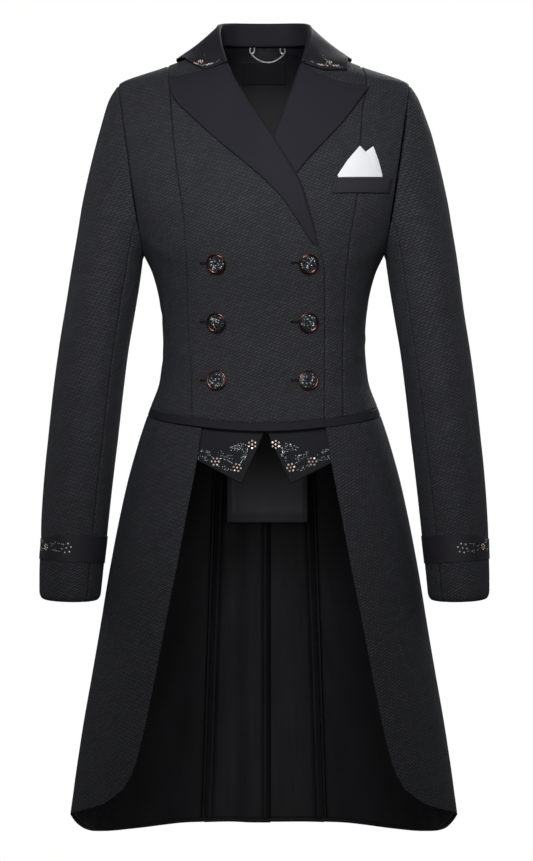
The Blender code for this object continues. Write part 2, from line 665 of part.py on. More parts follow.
def make_waist_bands():
    """The narrow band below the bodice: one for each front, and one across the back."""
    quarter = math.pi / 2
    ends = {
        "right": (-quarter, float(front_edge("right")[-1, 0])),
        "left": (float(front_edge("left")[-1, 0]), quarter),
        "back": (quarter, 3 * quarter),
    }
    for name, (start, end) in ends.items():
        angle = np.linspace(start, end, 19 if name == "back" else 15)
        top = pairs(angle, waist_z(angle) - SEAM_GAP)
        domain = np.stack([top, top - (0.0, BAND_HEIGHT - SEAM_GAP)])
        x = bare_skin(domain[..., 0], domain[..., 1])[..., 0]
        lift = front_lift(x, domain[..., 1]) if name == "right" else 0.0
        trims = {"left": SEAM_GAP / 2, "right": SEAM_GAP / 2}
        panel(f"{name}_waist_band", domain, lift, CLOTH, SMOOTH_BLACK, trims=trims)


# ---------------------------------------------------------------- lapels and collar
def across_from(line, distance):
    """A line of (x, z) points, moved sideways in its own plane by this distance, towards greater x."""
    ahead = np.gradient(line, axis=0)
    ahead /= np.linalg.norm(ahead, axis=1, keepdims=True)
    return line + distance * np.stack([-ahead[:, 1], ahead[:, 0]], axis=-1)


def make_lapel(name, side, outer, notch):
    """The turned-back facing lies on the front, and its fold closes over the front's cut edge."""
    rows, flat_cols = 16, 7
    roll_z = LAPEL_TOP + (LAPEL_ENDS[name] - LAPEL_TOP) * np.linspace(0, 1, rows)
    roll = pairs(column(FRONT_EDGES, name, roll_z), roll_z)
    beside = across_from(roll, side * ROLL_WIDTH)
    edge = along(outer, rows)
    top = along((outer[0], Spot(notch.x, notch.z - GORGE_GAP), Spot(*beside[0])), flat_cols)
    bottom = along((outer[-1], Spot(*beside[-1])), flat_cols)
    flat = coons(top, bottom, edge, beside)
    low = -CLOTH - LAPEL_GAP  # the inner face of the front, measured from the lapel's inner face
    fold = (  # steps round the fold: distance from the roll line and height, outside then inside
        (1.3 * MM, CLOTH - 0.3 * MM, 2.6 * MM, 0.0),
        (0.0, 0.3 * low, 1.9 * MM, 0.4 * low),
        (0.1 * MM, low, 1.9 * MM, low),
    )
    stand = ROLL_HEIGHT * smoothstep(*ROLL_SPAN[name], roll_z)
    near = np.linspace(0, 1, flat_cols)[None] ** 3
    faces = []
    for face in (0, 1):
        grid = np.concatenate([flat] + [across_from(roll, side * step[2 * face])[:, None] for step in fold], axis=1)
        height = [np.full((rows, flat_cols), CLOTH * (1 - face)) + near * stand[:, None]]
        for k, step in enumerate(fold):
            height.append((step[2 * face + 1] + stand * (0.9, 0.4, 0.0)[k])[:, None])
        x, z = grid[..., 0], grid[..., 1]
        base = LAPEL_GAP + (front_lift(x, z) if name == "right" else 0.0)
        faces.append(skin(front_angle(x, z), z, base + np.concatenate(height, axis=1)))
    wall(f"{name}_lapel", *faces, SMOOTH_BLACK, roughness=0.7)


def clear_of_skin(points, height):
    """Pushes points outwards to at least this height above the skin."""
    angle = np.arctan2(points[..., 0], column(SECTIONS, "shift", points[..., 2]) - points[..., 1])
    base = skin(angle, points[..., 2])
    normal = skin(angle, points[..., 2], 1.0) - base
    above = ((points - base) * normal).sum(axis=-1)
    return points + np.maximum(height - above, 0.0)[..., None] * normal


def collar_station(row, side, ahead):
    """The middle line of the collar's wall at one station: up the stand, over the fold and down the leaf."""
    fold, middle = (np.array(p) * (side, 1, 1) for p in (row.fold, row.middle))
    seam = skin(side * math.radians(row.seam[0]), row.seam[1], 1.0 * MM) + (0, 0, 1.7 * MM)
    edge = skin(side * math.radians(row.edge[0]), row.edge[1], COLLAR_LIFT)
    ahead = ahead / np.linalg.norm(ahead)
    up = np.array((0, 0, 1.0)) - ahead[2] * ahead
    up /= np.linalg.norm(up)
    outward = (middle - fold) - ahead * np.dot(middle - fold, ahead) - up * np.dot(middle - fold, up)
    outward /= np.linalg.norm(outward)
    centre = fold - up * COLLAR_FOLD_RADIUS
    line = [seam, seam + (centre - outward * COLLAR_FOLD_RADIUS - seam) * 0.5]
    for turn in np.radians((180, 120, 60, 0)):
        line.append(centre + COLLAR_FOLD_RADIUS * (outward * math.cos(turn) + up * math.sin(turn)))
    start = line[-1]
    control = 2 * middle - (start + edge) / 2
    for t in np.linspace(0, 1, 7)[1:]:
        bent = (1 - t) ** 2 * start + 2 * t * (1 - t) * control + t * t * edge
        straight = start + (middle - start) * 2 * t if t < 0.5 else middle + (edge - middle) * (2 * t - 1)
        line.append(row.bend * bent + (1 - row.bend) * straight)
    line = np.array(line)
    line[6:] = clear_of_skin(line[6:], COLLAR_LIFT)
    return line


def make_collar():
    rows = [(row, -1) for row in reversed(COLLAR[1:])] + [(row, 1) for row in COLLAR]
    ahead = np.gradient(np.array([np.array(row.fold) * (side, 1, 1) for row, side in rows]), axis=0)
    stations = np.stack([collar_station(row, side, ahead[k]) for k, (row, side) in enumerate(rows)])
    at = np.arange(len(stations), dtype=float)
    fine = np.linspace(0, len(stations) - 1, 3 * len(stations) // 2)
    flat = stations.reshape(len(stations), -1)
    lines = np.stack([through(at, flat[:, k], fine) for k in range(flat.shape[1])], axis=-1)
    middle = lines.reshape(len(fine), -1, 3)
    normal = np.cross(np.gradient(middle, axis=0), np.gradient(middle, axis=1))
    normal /= np.linalg.norm(normal, axis=-1, keepdims=True)
    wall("collar", middle + normal * CLOTH / 2, middle - normal * CLOTH / 2, SMOOTH_BLACK, roughness=0.7)


# ---------------------------------------------------------------- sleeves
def bare_sleeve(angle, ring):
    """A point of the left sleeve: angle from its outside towards the front, and ring counted from the armhole."""
    number = np.arange(len(SLEEVE), dtype=float)
    inner_x, inner_z, outer_x, outer_z, front, back, centre_y = (
        through(number, [getattr(r, name) for r in SLEEVE], ring) for name in Ring._fields
    )
    toward = (1 + np.cos(angle)) / 2
    x = inner_x + (outer_x - inner_x) * toward
    z = inner_z + (outer_z - inner_z) * toward
    forward = np.sin(angle)
    y = centre_y - forward * np.where(forward > 0, front, back)
    hole_z = ARMPIT[1] + (SHOULDER_POINT[1] - ARMPIT[1]) * toward
    hole_x = armhole_x(hole_z)
    front_y = bare_skin(front_angle(hole_x, hole_z), hole_z)[..., 1]
    back_y = bare_skin(back_angle(hole_x, hole_z), hole_z)[..., 1]
    hole_y = np.where(forward > 0, front_y, back_y)
    near = 1 - smoothstep(0.0, ARMHOLE_REACH, ring)
    return np.stack([x, y * (1 - near) + hole_y * near, z], axis=-1)


def sleeve(angle, ring, out):
    angle, ring = np.broadcast_arrays(np.asarray(angle, float), np.asarray(ring, float))
    return offset(bare_sleeve, angle, np.clip(ring, 3e-4, len(SLEEVE) - 1 - 3e-4), out)


def in_armhole_plane(step, mirror):
    """The thickness step of the sleeve's first ring, turned to lie flush with the armhole's edge."""
    normal = np.array((SHOULDER_POINT[1] - ARMPIT[1], 0.0, ARMPIT[0] - SHOULDER_POINT[0])) * mirror
    normal /= np.linalg.norm(normal)
    flush = step - (step @ normal)[..., None] * normal
    return CLOTH * flush / np.linalg.norm(flush, axis=-1, keepdims=True)


def make_sleeves():
    rings = np.arange(len(SLEEVE), dtype=float)[:, None]
    spans = {
        "top_sleeve": np.linspace(SLEEVE_BACK_SEAM - 360, SLEEVE_FRONT_SEAM, 14),
        "under_sleeve": np.linspace(SLEEVE_FRONT_SEAM, SLEEVE_BACK_SEAM, 7),
    }
    band_rings = np.linspace(CUFF_BAND[0], CUFF_BAND[1], 2)[:, None]
    round_the_arm = np.linspace(0, 2 * math.pi, 21)[None, :-1]
    for name, side in SIDES:
        mirror = np.array((side, 1.0, 1.0))
        for piece, degrees in spans.items():
            angle = np.radians(degrees)[None, :]
            trims = {"left": SEAM_GAP / 2, "right": SEAM_GAP / 2}
            outer = pull_in(sleeve(angle, rings, 0.0), **trims) * mirror
            inner = pull_in(sleeve(angle, rings, -CLOTH), **trims) * mirror
            inner[0] = outer[0] + in_armhole_plane(inner[0] - outer[0], mirror)
            wall(f"{name}_{piece}", outer, inner, CLOTH_BLACK)
        outer = sleeve(round_the_arm, band_rings, LAYER_GAP + LINING) * mirror
        inner = sleeve(round_the_arm, band_rings, LAYER_GAP) * mirror
        wall(f"{name}_cuff_band", outer, inner, SMOOTH_BLACK, ring=True)


# ---------------------------------------------------------------- tails
def below_band(angle):
    return waist_z(angle) - BAND_HEIGHT - 2 * SEAM_GAP


def pleat_x(z):
    return column(PLEAT, "x", z)


def back_down(x_at, rows):
    """A line on the back from the waist to the hem, as (angle, z), at the x that x_at gives."""
    start = WAIST_SIDE_Z
    for _ in range(8):
        start = float(below_band(back_angle(x_at(start), start)))
    z = start + (HEM_Z - start) * np.linspace(0, 1, rows)
    return pairs(back_angle(x_at(z), z), z)


def hem_line(angle):
    return pairs(angle, column(TAIL_HEM, "z", np.degrees(angle), key="angle"))


def tail_side_domain(back_edge_x, rows, cols):
    """The grid of a tail's side, from its cut-away front edge round to a line on the back."""
    edge_spots = along(TAIL_EDGE, rows, crowd=1.35)
    for _ in range(8):
        edge_spots[0, 1] = float(below_band(front_angle(*edge_spots[0])))
    edge = pairs(front_angle(edge_spots[:, 0], edge_spots[:, 1]), edge_spots[:, 1])
    back = back_down(back_edge_x, rows)
    share = np.linspace(0, 1, cols) ** 1.25
    angle = edge[0, 0] + (back[0, 0] - edge[0, 0]) * share
    top = pairs(angle, below_band(angle))
    return coons(top, hem_line(edge[-1, 0] + (back[-1, 0] - edge[-1, 0]) * share), edge, back)


def tail_back_domain(vent_x, rows, cols):
    """The grid of a tail's back, from the pleat to its vent edge at centre back."""
    pleat = back_down(pleat_x, rows)
    vent = back_down(lambda z: vent_x + 0.0 * np.asarray(z), rows)
    angle = np.linspace(pleat[0, 0], vent[0, 0], cols)
    top = pairs(angle, below_band(angle))
    return coons(top, hem_line(np.linspace(pleat[-1, 0], vent[-1, 0], cols)), pleat, vent)


def make_tails():
    """Each tail: a side with its lining, and a back that the side overlaps at the pleat, with its lining."""
    rows = 13
    side_out = 0.0
    back_out = side_out - CLOTH - LAYER_GAP
    for name, side in SIDES:
        inside = tail_side_domain(lambda z: pleat_x(z) + PLEAT_OPENING, rows, 11)
        underlap = [
            back_down(lambda z, k=k: pleat_x(z) + PLEAT_OPENING - k * PLEAT_UNDERLAP / 2, rows)[:, None]
            for k in (1, 2)
        ]
        shell = np.concatenate([inside, *underlap], axis=1)
        panel(f"{name}_tail_side", shell, side_out, CLOTH, CLOTH_BLACK, side=side)
        trims = {"left": 1.5 * MM, "bottom": 1.5 * MM}
        panel(
            f"{name}_tail_side_lining",
            inside,
            side_out - CLOTH - LAYER_GAP,
            LINING,
            SATIN_BLACK,
            roughness=0.5,
            trims=trims,
            side=side,
        )
        vent_x = -RIGHT_VENT_X if name == "right" else LEFT_VENT_X
        domain = tail_back_domain(vent_x, rows, 7)
        x = bare_skin(domain[..., 0], domain[..., 1])[..., 0]
        under = (CLOTH + LINING + 2 * LAYER_GAP) * smoothstep(*VENT_STEP, x) if name == "right" else 0.0 * x
        panel(f"{name}_tail_back", domain, back_out - under, CLOTH, CLOTH_BLACK, side=side)
        trims = {"left": 0.4 * MM, "right": 0.4 * MM, "bottom": 1.5 * MM}
        lining_out = back_out - under - CLOTH - LAYER_GAP
        panel(
            f"{name}_tail_back_lining",
            domain,
            lining_out,
            LINING,
            SATIN_BLACK,
            roughness=0.5,
            trims=trims,
            side=side,
        )


# ---------------------------------------------------------------- small pieces
def make_vest_points():
    """Two pointed tips that hang below the front of the waist, tucked behind the band and the tails."""
    for name, side in SIDES:
        inner_top, tip, outer_bottom, outer_top = VEST_POINTS[name]
        cols, rows = 6, 5
        grid = coons(
            along((inner_top, outer_top), cols),
            along((tip, outer_bottom), cols),
            along((inner_top, tip), rows),
            along((outer_top, outer_bottom), rows),
        )
        x, z = grid[..., 0], grid[..., 1]
        angle = front_angle(x, z)
        z = z.copy()
        z[0] = waist_z(angle[0]) - VEST_TUCK
        out = -CLOTH - LINING - VEST_GAP
        outer, inner = skin(angle, z, out + 0 * x), skin(angle, z, out - CLOTH + 0 * x)
        wall(f"{name}_vest_point", outer, inner, SMOOTH_BLACK)


def make_inner_tab():
    """A satin flap that hangs inside, from the back of the waist."""
    x = np.linspace(-1, 1, TAB_COLS) * INNER_TAB_HALF_WIDTH + INNER_TAB_X
    z = np.array([d.z for d in INNER_TAB])
    y = np.array([d.y for d in INNER_TAB])
    bow = TAB_BOW * (1 - np.linspace(-1, 1, TAB_COLS) ** 2)
    waist = np.full(TAB_COLS, WAIST_SIDE_Z)
    curve = bare_skin(back_angle(x, waist), waist)[:, 1] - bare_skin(math.pi, WAIST_SIDE_Z)[1]
    follows = np.array(TAB_FOLLOWS)[:, None]
    place_y = y[:, None] + curve[None] * follows + bow[None] * (1 - follows)
    grid = np.stack(np.broadcast_arrays(x[None], place_y, z[:, None]), axis=-1)
    normal = np.cross(np.gradient(grid, axis=1), np.gradient(grid, axis=0))
    normal /= np.linalg.norm(normal, axis=-1, keepdims=True)
    wall("inner_tab", grid + normal * LINING / 2, grid - normal * LINING / 2, SATIN_BLACK, roughness=0.5)


def make_pocket():
    """The breast pocket's welt, sewn down along its lower edge, and the white square that stands in it."""
    top_left, top_right, bottom_right, bottom_left = WELT
    rows, cols = 3, 7
    grid = coons(
        along((top_left, top_right), cols),
        along((bottom_left, bottom_right), cols),
        along((top_left, bottom_left), rows),
        along((top_right, bottom_right), rows),
    )
    angle, z = front_angle(grid[..., 0], grid[..., 1]), grid[..., 1]
    under = np.linspace(WELT_STAND, LAYER_GAP, rows)[:, None] + 0 * z
    wall("pocket_welt", skin(angle, z, under + CLOTH), skin(angle, z, under), SMOOTH_BLACK)
    cols = 13
    top = along(SQUARE_TOP, cols)
    foot = pairs(np.linspace(SQUARE_TOP[0].x, SQUARE_TOP[-1].x, cols), SQUARE_BOTTOM_Z)
    share = np.linspace(0, 1, 4)[:, None, None]
    grid = top[None] * (1 - share) + foot[None] * share
    angle, z = front_angle(grid[..., 0], grid[..., 1]), grid[..., 1]
    base = LAYER_GAP + 0 * z
    wall("pocket_square", skin(angle, z, base + LINING), skin(angle, z, base), WHITE, roughness=0.8)


def make_buttons():
    number = 0
    for z in BUTTON_ROWS:
        for x in BUTTON_COLUMNS:
            number += 1
            angle = float(front_angle(x, z))
            lift = float(front_lift(x, z))
            place = skin(angle, z, lift)
            normal = skin(angle, z, lift + 1 * MM) - place
            rows = [(radius * MM, height * MM) for radius, height in BUTTON_PROFILE]
            lathe(f"button_{number}", rows, place, normal, 14, ROSE_GOLD, roughness=0.3, metallic=1.0)


def make_neck_lining():
    """The lining inside the upper back, where the neck shows it, with its label and hanger chain."""
    rows, cols = 9, 11
    out = -CLOTH - 4 * LAYER_GAP
    share = np.linspace(-1, 1, cols)
    top_x, bottom_x = NECK_LINING_X[0] * share, NECK_LINING_X[1] * share
    middle_z, end_z, bottom_z = NECK_LINING_Z
    top = pairs(back_angle(top_x, 0.0 * share), middle_z + (end_z - middle_z) * share**2)
    bottom = pairs(back_angle(bottom_x, bottom_z + 0 * share), bottom_z)
    down = np.linspace(0, 1, rows) ** 1.4
    left = top[0] + (bottom[0] - top[0]) * down[:, None]
    right = top[-1] + (bottom[-1] - top[-1]) * down[:, None]
    domain = coons(top, bottom, left, right)
    panel("neck_lining", domain, out, LINING, SATIN_BLACK)
    out -= LINING + LAYER_GAP
    label_x = np.linspace(-1, 1, 5) * LABEL_HALF_WIDTH
    label_z = np.linspace(LABEL_TOP, LABEL_BOTTOM, 3)[:, None] + 0 * label_x[None]
    domain = pairs(back_angle(label_x[None], label_z), label_z)
    panel("neck_label", domain, out, LABEL_THICKNESS, LABEL_BLACK)
    return out - LABEL_THICKNESS


def make_hanger(out):
    """The hanger loop: a chain that sags between two small horseshoes at the back of the neck."""
    for name, x in (("right", CHAIN_END_X[0]), ("left", CHAIN_END_X[1])):
        turn = np.radians(np.linspace(-220, 40, 12))
        shoe_x = x + SHOE_HALF_WIDTH * np.cos(turn)
        shoe_z = CHAIN_END_Z + SHOE_HALF_HEIGHT * np.sin(turn)
        line = skin(back_angle(shoe_x, shoe_z), shoe_z, out - 0.3 * MM + 0 * shoe_x)
        tube(f"{name}_chain_end", line, SHOE_RADIUS, 6, SILVER, roughness=0.25, metallic=1.0)
    share = np.linspace(0, 1, 17)
    low = CHAIN_END_Z - CHAIN_START
    chain_x = CHAIN_END_X[0] + (CHAIN_END_X[1] - CHAIN_END_X[0]) * share
    chain_z = low - (CHAIN_SAG - CHAIN_START) * 4 * share * (1 - share)
    line = skin(back_angle(chain_x, chain_z), chain_z, out - 1.0 * MM + 0 * chain_x)
    tube("hanger_chain", line, CHAIN_RADIUS, 6, SILVER, roughness=0.25, metallic=1.0)


def main():
    for old in list(bpy.data.objects):
        bpy.data.objects.remove(old)
    make_fronts()
    make_side_panels()
    make_backs()
    make_waist_bands()
    make_lapel("right", -1, RIGHT_LAPEL_OUTER, RIGHT_NOTCH)
    make_lapel("left", 1, LEFT_LAPEL_OUTER, LEFT_NOTCH)
    make_collar()
    make_sleeves()
    make_tails()
    make_vest_points()
    make_inner_tab()
    make_pocket()
    make_buttons()
    make_hanger(make_neck_lining())


main()
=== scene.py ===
"""Looks of a riding show jacket: a black double-breasted tailcoat, filled out as if worn.

Frame: metres, +Z up, the front faces -Y, the wearer's left is at +X, and the origin is the middle of the
neck base. The cloth is built from the same sizes and seam lines as the solids, as fine thin shells with
creases. A point of the body is given by its angle round it (0 at centre front, 90 at the side,
180 at centre back, and negative on the wearer's right) and by its height.
"""

import math
from collections import namedtuple

import bmesh
import bpy
import numpy as np
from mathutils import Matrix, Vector


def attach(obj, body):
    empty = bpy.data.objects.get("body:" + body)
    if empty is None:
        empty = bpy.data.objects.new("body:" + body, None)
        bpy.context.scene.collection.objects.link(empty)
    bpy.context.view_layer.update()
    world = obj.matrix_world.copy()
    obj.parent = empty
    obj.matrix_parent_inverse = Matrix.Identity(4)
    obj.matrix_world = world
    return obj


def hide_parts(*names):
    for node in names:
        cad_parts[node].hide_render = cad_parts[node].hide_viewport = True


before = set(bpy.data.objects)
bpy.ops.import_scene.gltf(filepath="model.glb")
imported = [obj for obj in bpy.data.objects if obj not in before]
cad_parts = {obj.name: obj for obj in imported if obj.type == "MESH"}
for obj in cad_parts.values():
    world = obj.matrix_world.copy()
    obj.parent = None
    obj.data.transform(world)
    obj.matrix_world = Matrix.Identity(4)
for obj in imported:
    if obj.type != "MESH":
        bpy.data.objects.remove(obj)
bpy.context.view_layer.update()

MM = 0.001


def rows_of(kind, *rows):
    """Rows of numbers as named rows of one kind."""
    return tuple(kind(*row) for row in rows)


# ---------------------------------------------------------------- driving sizes, in metres
CLOTH = 2.0 * MM  # outer cloth
LINING = 1.2 * MM  # satin and lining
SEAM_GAP = 0.35 * MM  # between panels at a seam
LAYER_GAP = 0.7 * MM  # between cloths that lie on each other
OVER_LIFT = 6.6 * MM  # the right front's outer face where it crosses the left lapel
UNDER_LIFT = 2.9 * MM  # and lower down, where it crosses the left front alone
BAND_HEIGHT = 9.0 * MM  # narrow band below the bodice
HEM_Z = -1.006
WAIST_SIDE_Z = -0.4550
WAIST_DIP = (0.0220, 0.0040)  # how much lower the waist seam lies at centre front and centre back
LIFT_HEIGHTS = (-0.30, -0.22)  # where the right front passes from UNDER_LIFT to OVER_LIFT
LIFT_START = (0.068, 0.012)  # how far before the left front's edge the right front starts to rise and is up

NECK_X = 0.0660  # where the shoulder seam meets the neck
BACK_NECK_Z = 0.0115
SHOULDER_POINT = (0.187, -0.043)  # x and z of the top of the armhole
ARMPIT = (0.1545, -0.2597)  # x and z of its bottom

Section = namedtuple("Section", "z half_width front back shift square")
SECTIONS = rows_of(
    Section,
    (0.020, 0.0450, 0.032, 0.060, 0.006, 2.0), (0.000, 0.0770, 0.050, 0.066, 0.006, 2.1),
    (-0.020, 0.1280, 0.064, 0.075, 0.006, 2.2), (-0.043, 0.1870, 0.078, 0.086, 0.005, 2.3),
    (-0.070, 0.1985, 0.091, 0.094, 0.004, 2.3), (-0.110, 0.2005, 0.108, 0.101, 0.003, 2.35),
    (-0.160, 0.1950, 0.124, 0.106, 0.002, 2.4), (-0.210, 0.1770, 0.131, 0.106, 0.000, 2.4),
    (-0.2597, 0.1545, 0.128, 0.101, 0.000, 2.35), (-0.286, 0.1423, 0.122, 0.097, 0.000, 2.3),
    (-0.324, 0.1333, 0.111, 0.092, 0.000, 2.3), (-0.372, 0.1293, 0.101, 0.088, 0.000, 2.3),
    (-0.420, 0.1333, 0.100, 0.090, 0.000, 2.3), (-0.459, 0.1468, 0.107, 0.099, 0.000, 2.3),
    (-0.497, 0.1596, 0.115, 0.111, 0.000, 2.3), (-0.555, 0.1756, 0.124, 0.130, 0.000, 2.3),
    (-0.651, 0.1949, 0.134, 0.155, 0.000, 2.35), (-0.759, 0.2122, 0.141, 0.174, 0.000, 2.35),
    (-0.882, 0.2327, 0.147, 0.192, 0.000, 2.35), (-0.974, 0.2455, 0.151, 0.203, 0.000, 2.35),
    (-1.020, 0.2515, 0.153, 0.208, 0.000, 2.35),
)

# Princess seams: how far each lies from the centre line.
Seam = namedtuple("Seam", "z right left back")
PRINCESS = rows_of(
    Seam,
    (-0.015, 0.1236, 0.1236, 0.1236), (-0.046, 0.1200, 0.1300, 0.1190), (-0.080, 0.1175, 0.1250, 0.1140),
    (-0.130, 0.1130, 0.1215, 0.1060), (-0.190, 0.1050, 0.1175, 0.0960), (-0.240, 0.0985, 0.1095, 0.0870),
    (-0.300, 0.0960, 0.1035, 0.0720), (-0.360, 0.0950, 0.1010, 0.0620), (-0.420, 0.0915, 0.1000, 0.0585),
    (-0.490, 0.0900, 0.1000, 0.0600),
)

# Front edges: the roll line from the neck down to the break, then the straight edge to the waist.
Edge = namedtuple("Edge", "z right left")
FRONT_EDGES = rows_of(
    Edge,
    (-0.004, -0.0570, 0.0570), (-0.020, -0.0465, 0.0470), (-0.042, -0.0364, 0.0385),
    (-0.075, -0.0168, 0.0265), (-0.116, 0.0090, 0.0110), (-0.140, 0.0245, -0.0010),
    (-0.164, 0.0392, -0.0150), (-0.182, 0.0474, -0.0260), (-0.204, 0.0540, -0.0400),
    (-0.222, 0.0596, -0.0510), (-0.240, 0.0650, -0.0600), (-0.259, 0.0690, -0.0680),
    (-0.288, 0.0740, -0.0735), (-0.360, 0.0745, -0.0740), (-0.490, 0.0738, -0.0740),
)

# Lapels seen from the front: x and z of points along each edge, from the top down.
Spot = namedtuple("Spot", "x z")
RIGHT_LAPEL_OUTER = rows_of(
    Spot,
    (-0.1195, -0.0410), (-0.1165, -0.0570), (-0.1090, -0.0710), (-0.0932, -0.0875), (-0.0625, -0.1166),
    (-0.0365, -0.1406), (-0.0016, -0.1712), (0.0225, -0.1954), (0.0400, -0.2200), (0.0520, -0.2385),
    (0.0595, -0.2500),
)
LEFT_LAPEL_OUTER = rows_of(
    Spot,
    (0.1311, -0.0518), (0.1190, -0.0690), (0.1007, -0.0943), (0.0782, -0.1196), (0.0559, -0.1434),
    (0.0392, -0.1636), (0.0200, -0.1830),
)
BREAK_Z = -0.2590  # where the right front's edge turns straight down
LAPEL_TOP = -0.0240  # height where both roll lines start
LAPEL_ENDS = {"right": -0.2515, "left": -0.1680}
TRIM_START = (0.006, 0.020)  # depths below the neck where the front's trim starts and is full
TRIM_Z = -0.2528  # the front's row just above it
TRIM_ENDS = {"right": (BREAK_Z, TRIM_Z), "left": (-0.2060, -0.1715)}  # heights of no trim and full trim
ROLL_SPAN = {"right": (-0.300, -0.040), "left": (-0.115, -0.040)}  # heights where each fold is flat and full
GORGE_GAP = 1.2 * MM  # between the collar's front end and the lapel's top edge
LAPEL_GAP = 0.9 * MM  # between the front and the lapel on it
RIGHT_NOTCH = Spot(-0.0761, -0.0310)
LEFT_NOTCH = Spot(0.0740, -0.0385)
ROLL_HEIGHT = 5.0 * MM  # how far the lapel's fold stands off the chest at the neck

# Collar, one side, from centre back to the front end. The fold and the middle of the leaf are points in
# space; the neck seam and the leaf's outer edge lie on the skin, given by angle and height. The leaf is bent
# from its fold to its edge, but runs straight to the notch and on to its tip at the front end.
Collar = namedtuple("Collar", "fold middle seam edge bend")
COLLAR = rows_of(
    Collar,
    ((0.0000, 0.0640, 0.0420), (0.0000, 0.0800, 0.0140), (180, 0.0120), (180, -0.0160), 1),
    ((0.0300, 0.0610, 0.0420), (0.0370, 0.0760, 0.0140), (156, 0.0115), (157, -0.0165), 1),
    ((0.0480, 0.0460, 0.0405), (0.0650, 0.0600, 0.0130), (132, 0.0105), (134, -0.0180), 1),
    ((0.0580, 0.0220, 0.0360), (0.0835, 0.0340, 0.0120), (106, 0.0075), (110, -0.0170), 1),
    ((0.0590, -0.0040, 0.0260), (0.0870, 0.0060, 0.0080), (88, 0.0050), (95, -0.0135), 1),
    ((0.0570, -0.0280, 0.0120), (0.0855, -0.0230, -0.0050), (70, 0.0010), (86, -0.0125), 1),
    ((0.0530, -0.0490, -0.0050), (0.0820, -0.0460, -0.0180), (51, -0.0115), (80, -0.0165), 1),
    ((0.0493, -0.0615, -0.0172), (0.0765, -0.0610, -0.0287), (41, -0.0220), (75, -0.0210), 0),
)
COLLAR_FOLD_RADIUS = 2.4 * MM
COLLAR_LIFT = 4.6 * MM  # the leaf's edge above the shoulder

# Sleeve rings from the armhole to the cuff: ends of each ring seen from the front, and depths.
Ring = namedtuple("Ring", "inner_x inner_z outer_x outer_z front back centre_y")
SLEEVE = rows_of(
    Ring,
    (0.15465, -0.25972, 0.18715, -0.04302, 0.0700, 0.0700, 0.002),
    (0.1556, -0.2626, 0.1985, -0.0615, 0.0700, 0.0700, 0.002),
    (0.1572, -0.2665, 0.2100, -0.0990, 0.0690, 0.0690, 0.002),
    (0.1579, -0.2710, 0.2208, -0.1400, 0.0680, 0.0680, 0.002),
    (0.1588, -0.2770, 0.2310, -0.1850, 0.0665, 0.0665, 0.002),
    (0.1602, -0.2860, 0.2400, -0.2330, 0.0650, 0.0655, 0.001),
    (0.1625, -0.3000, 0.2492, -0.2800, 0.0635, 0.0645, 0.000),
    (0.1692, -0.3350, 0.2575, -0.3250, 0.0615, 0.0630, -0.002),
    (0.1790, -0.3850, 0.2670, -0.3750, 0.0590, 0.0610, -0.004),
    (0.1862, -0.4350, 0.2748, -0.4250, 0.0565, 0.0590, -0.007),
    (0.1926, -0.4850, 0.2812, -0.4760, 0.0545, 0.0565, -0.012),
    (0.1988, -0.5350, 0.2868, -0.5270, 0.0525, 0.0540, -0.018),
    (0.2044, -0.5850, 0.2908, -0.5780, 0.0505, 0.0515, -0.025),
    (0.2080, -0.6200, 0.2926, -0.6140, 0.0490, 0.0500, -0.030),
    (0.2112, -0.6540, 0.2936, -0.6480, 0.0475, 0.0485, -0.034),
    (0.2150, -0.7020, 0.2925, -0.7000, 0.0455, 0.0460, -0.040),
)
SLEEVE_FRONT_SEAM = 128.0  # angle round the sleeve, from its outside towards the front
SLEEVE_BACK_SEAM = 248.0
CUFF_BAND = (13.0, 14.0)  # the rings that it lies between, counted from the armhole
ARMHOLE_REACH = 5.0  # rings over which the armhole's form passes into the sleeve's

# Tails: the cut-away front edge, then the hem with its rounded front corner.
TAIL_EDGE = rows_of(
    Spot,
    (0.0790, -0.4800), (0.0842, -0.5165), (0.0978, -0.5890), (0.1085, -0.6470), (0.1205, -0.7070),
    (0.1418, -0.8155), (0.1566, -0.8830), (0.1670, -0.9160), (0.1790, -0.9365),
)
Hem = namedtuple("Hem", "angle z")
TAIL_HEM = rows_of(
    Hem,
    (58.5, -0.9365), (61.5, -0.9458), (65.0, -0.9540), (71.5, -0.9622), (80.0, -0.9705), (90.0, -0.9790),
    (100.0, -0.9920), (111.0, -1.0045), (118.0, -1.0102), (126.0, -1.0126), (134.0, -1.0110),
    (143.0, -1.0080), (153.0, HEM_Z), (200.0, HEM_Z),
)
PLEAT = (Spot(0.058, -0.440), Spot(0.063, -0.540), Spot(0.080, -1.010))
PLEAT_UNDERLAP = 0.020
PLEAT_OPENING = 0.004
RIGHT_VENT_X, LEFT_VENT_X = 0.008, -0.012  # where each tail ends at centre back
VENT_STEP = (0.045, 0.016)  # from centre back: where the right tail starts to pass under the left one

BUTTON_ROWS = (-0.2748, -0.3484, -0.4225)
BUTTON_COLUMNS = (-0.0580, 0.0544)

VEST_POINTS = {  # inner top, tip, outer bottom, outer top
    "right": (Spot(0.0015, -0.483), Spot(-0.0290, -0.5500), Spot(-0.0960, -0.5150), Spot(-0.0920, -0.478)),
    "left": (Spot(0.0032, -0.483), Spot(0.0345, -0.5500), Spot(0.0990, -0.5180), Spot(0.0920, -0.478)),
}
VEST_TUCK, VEST_GAP = 5.0 * MM, 1.8 * MM  # their top below the waist seam, and room to the lining
INNER_TAB_HALF_WIDTH = 0.052
INNER_TAB_X = 0.0042
Drop = namedtuple("Drop", "z y")
INNER_TAB = rows_of(
    Drop,
    (-0.446, 0.0921), (-0.456, 0.0880), (-0.470, 0.0870), (-0.520, 0.0890), (-0.605, 0.0960),
)
TAB_FOLLOWS = (1.0, 1.0, 0.8, 0.3, 0.0)  # how far each row of it follows the curve of the back's waist
TAB_BOW = 4.0 * MM

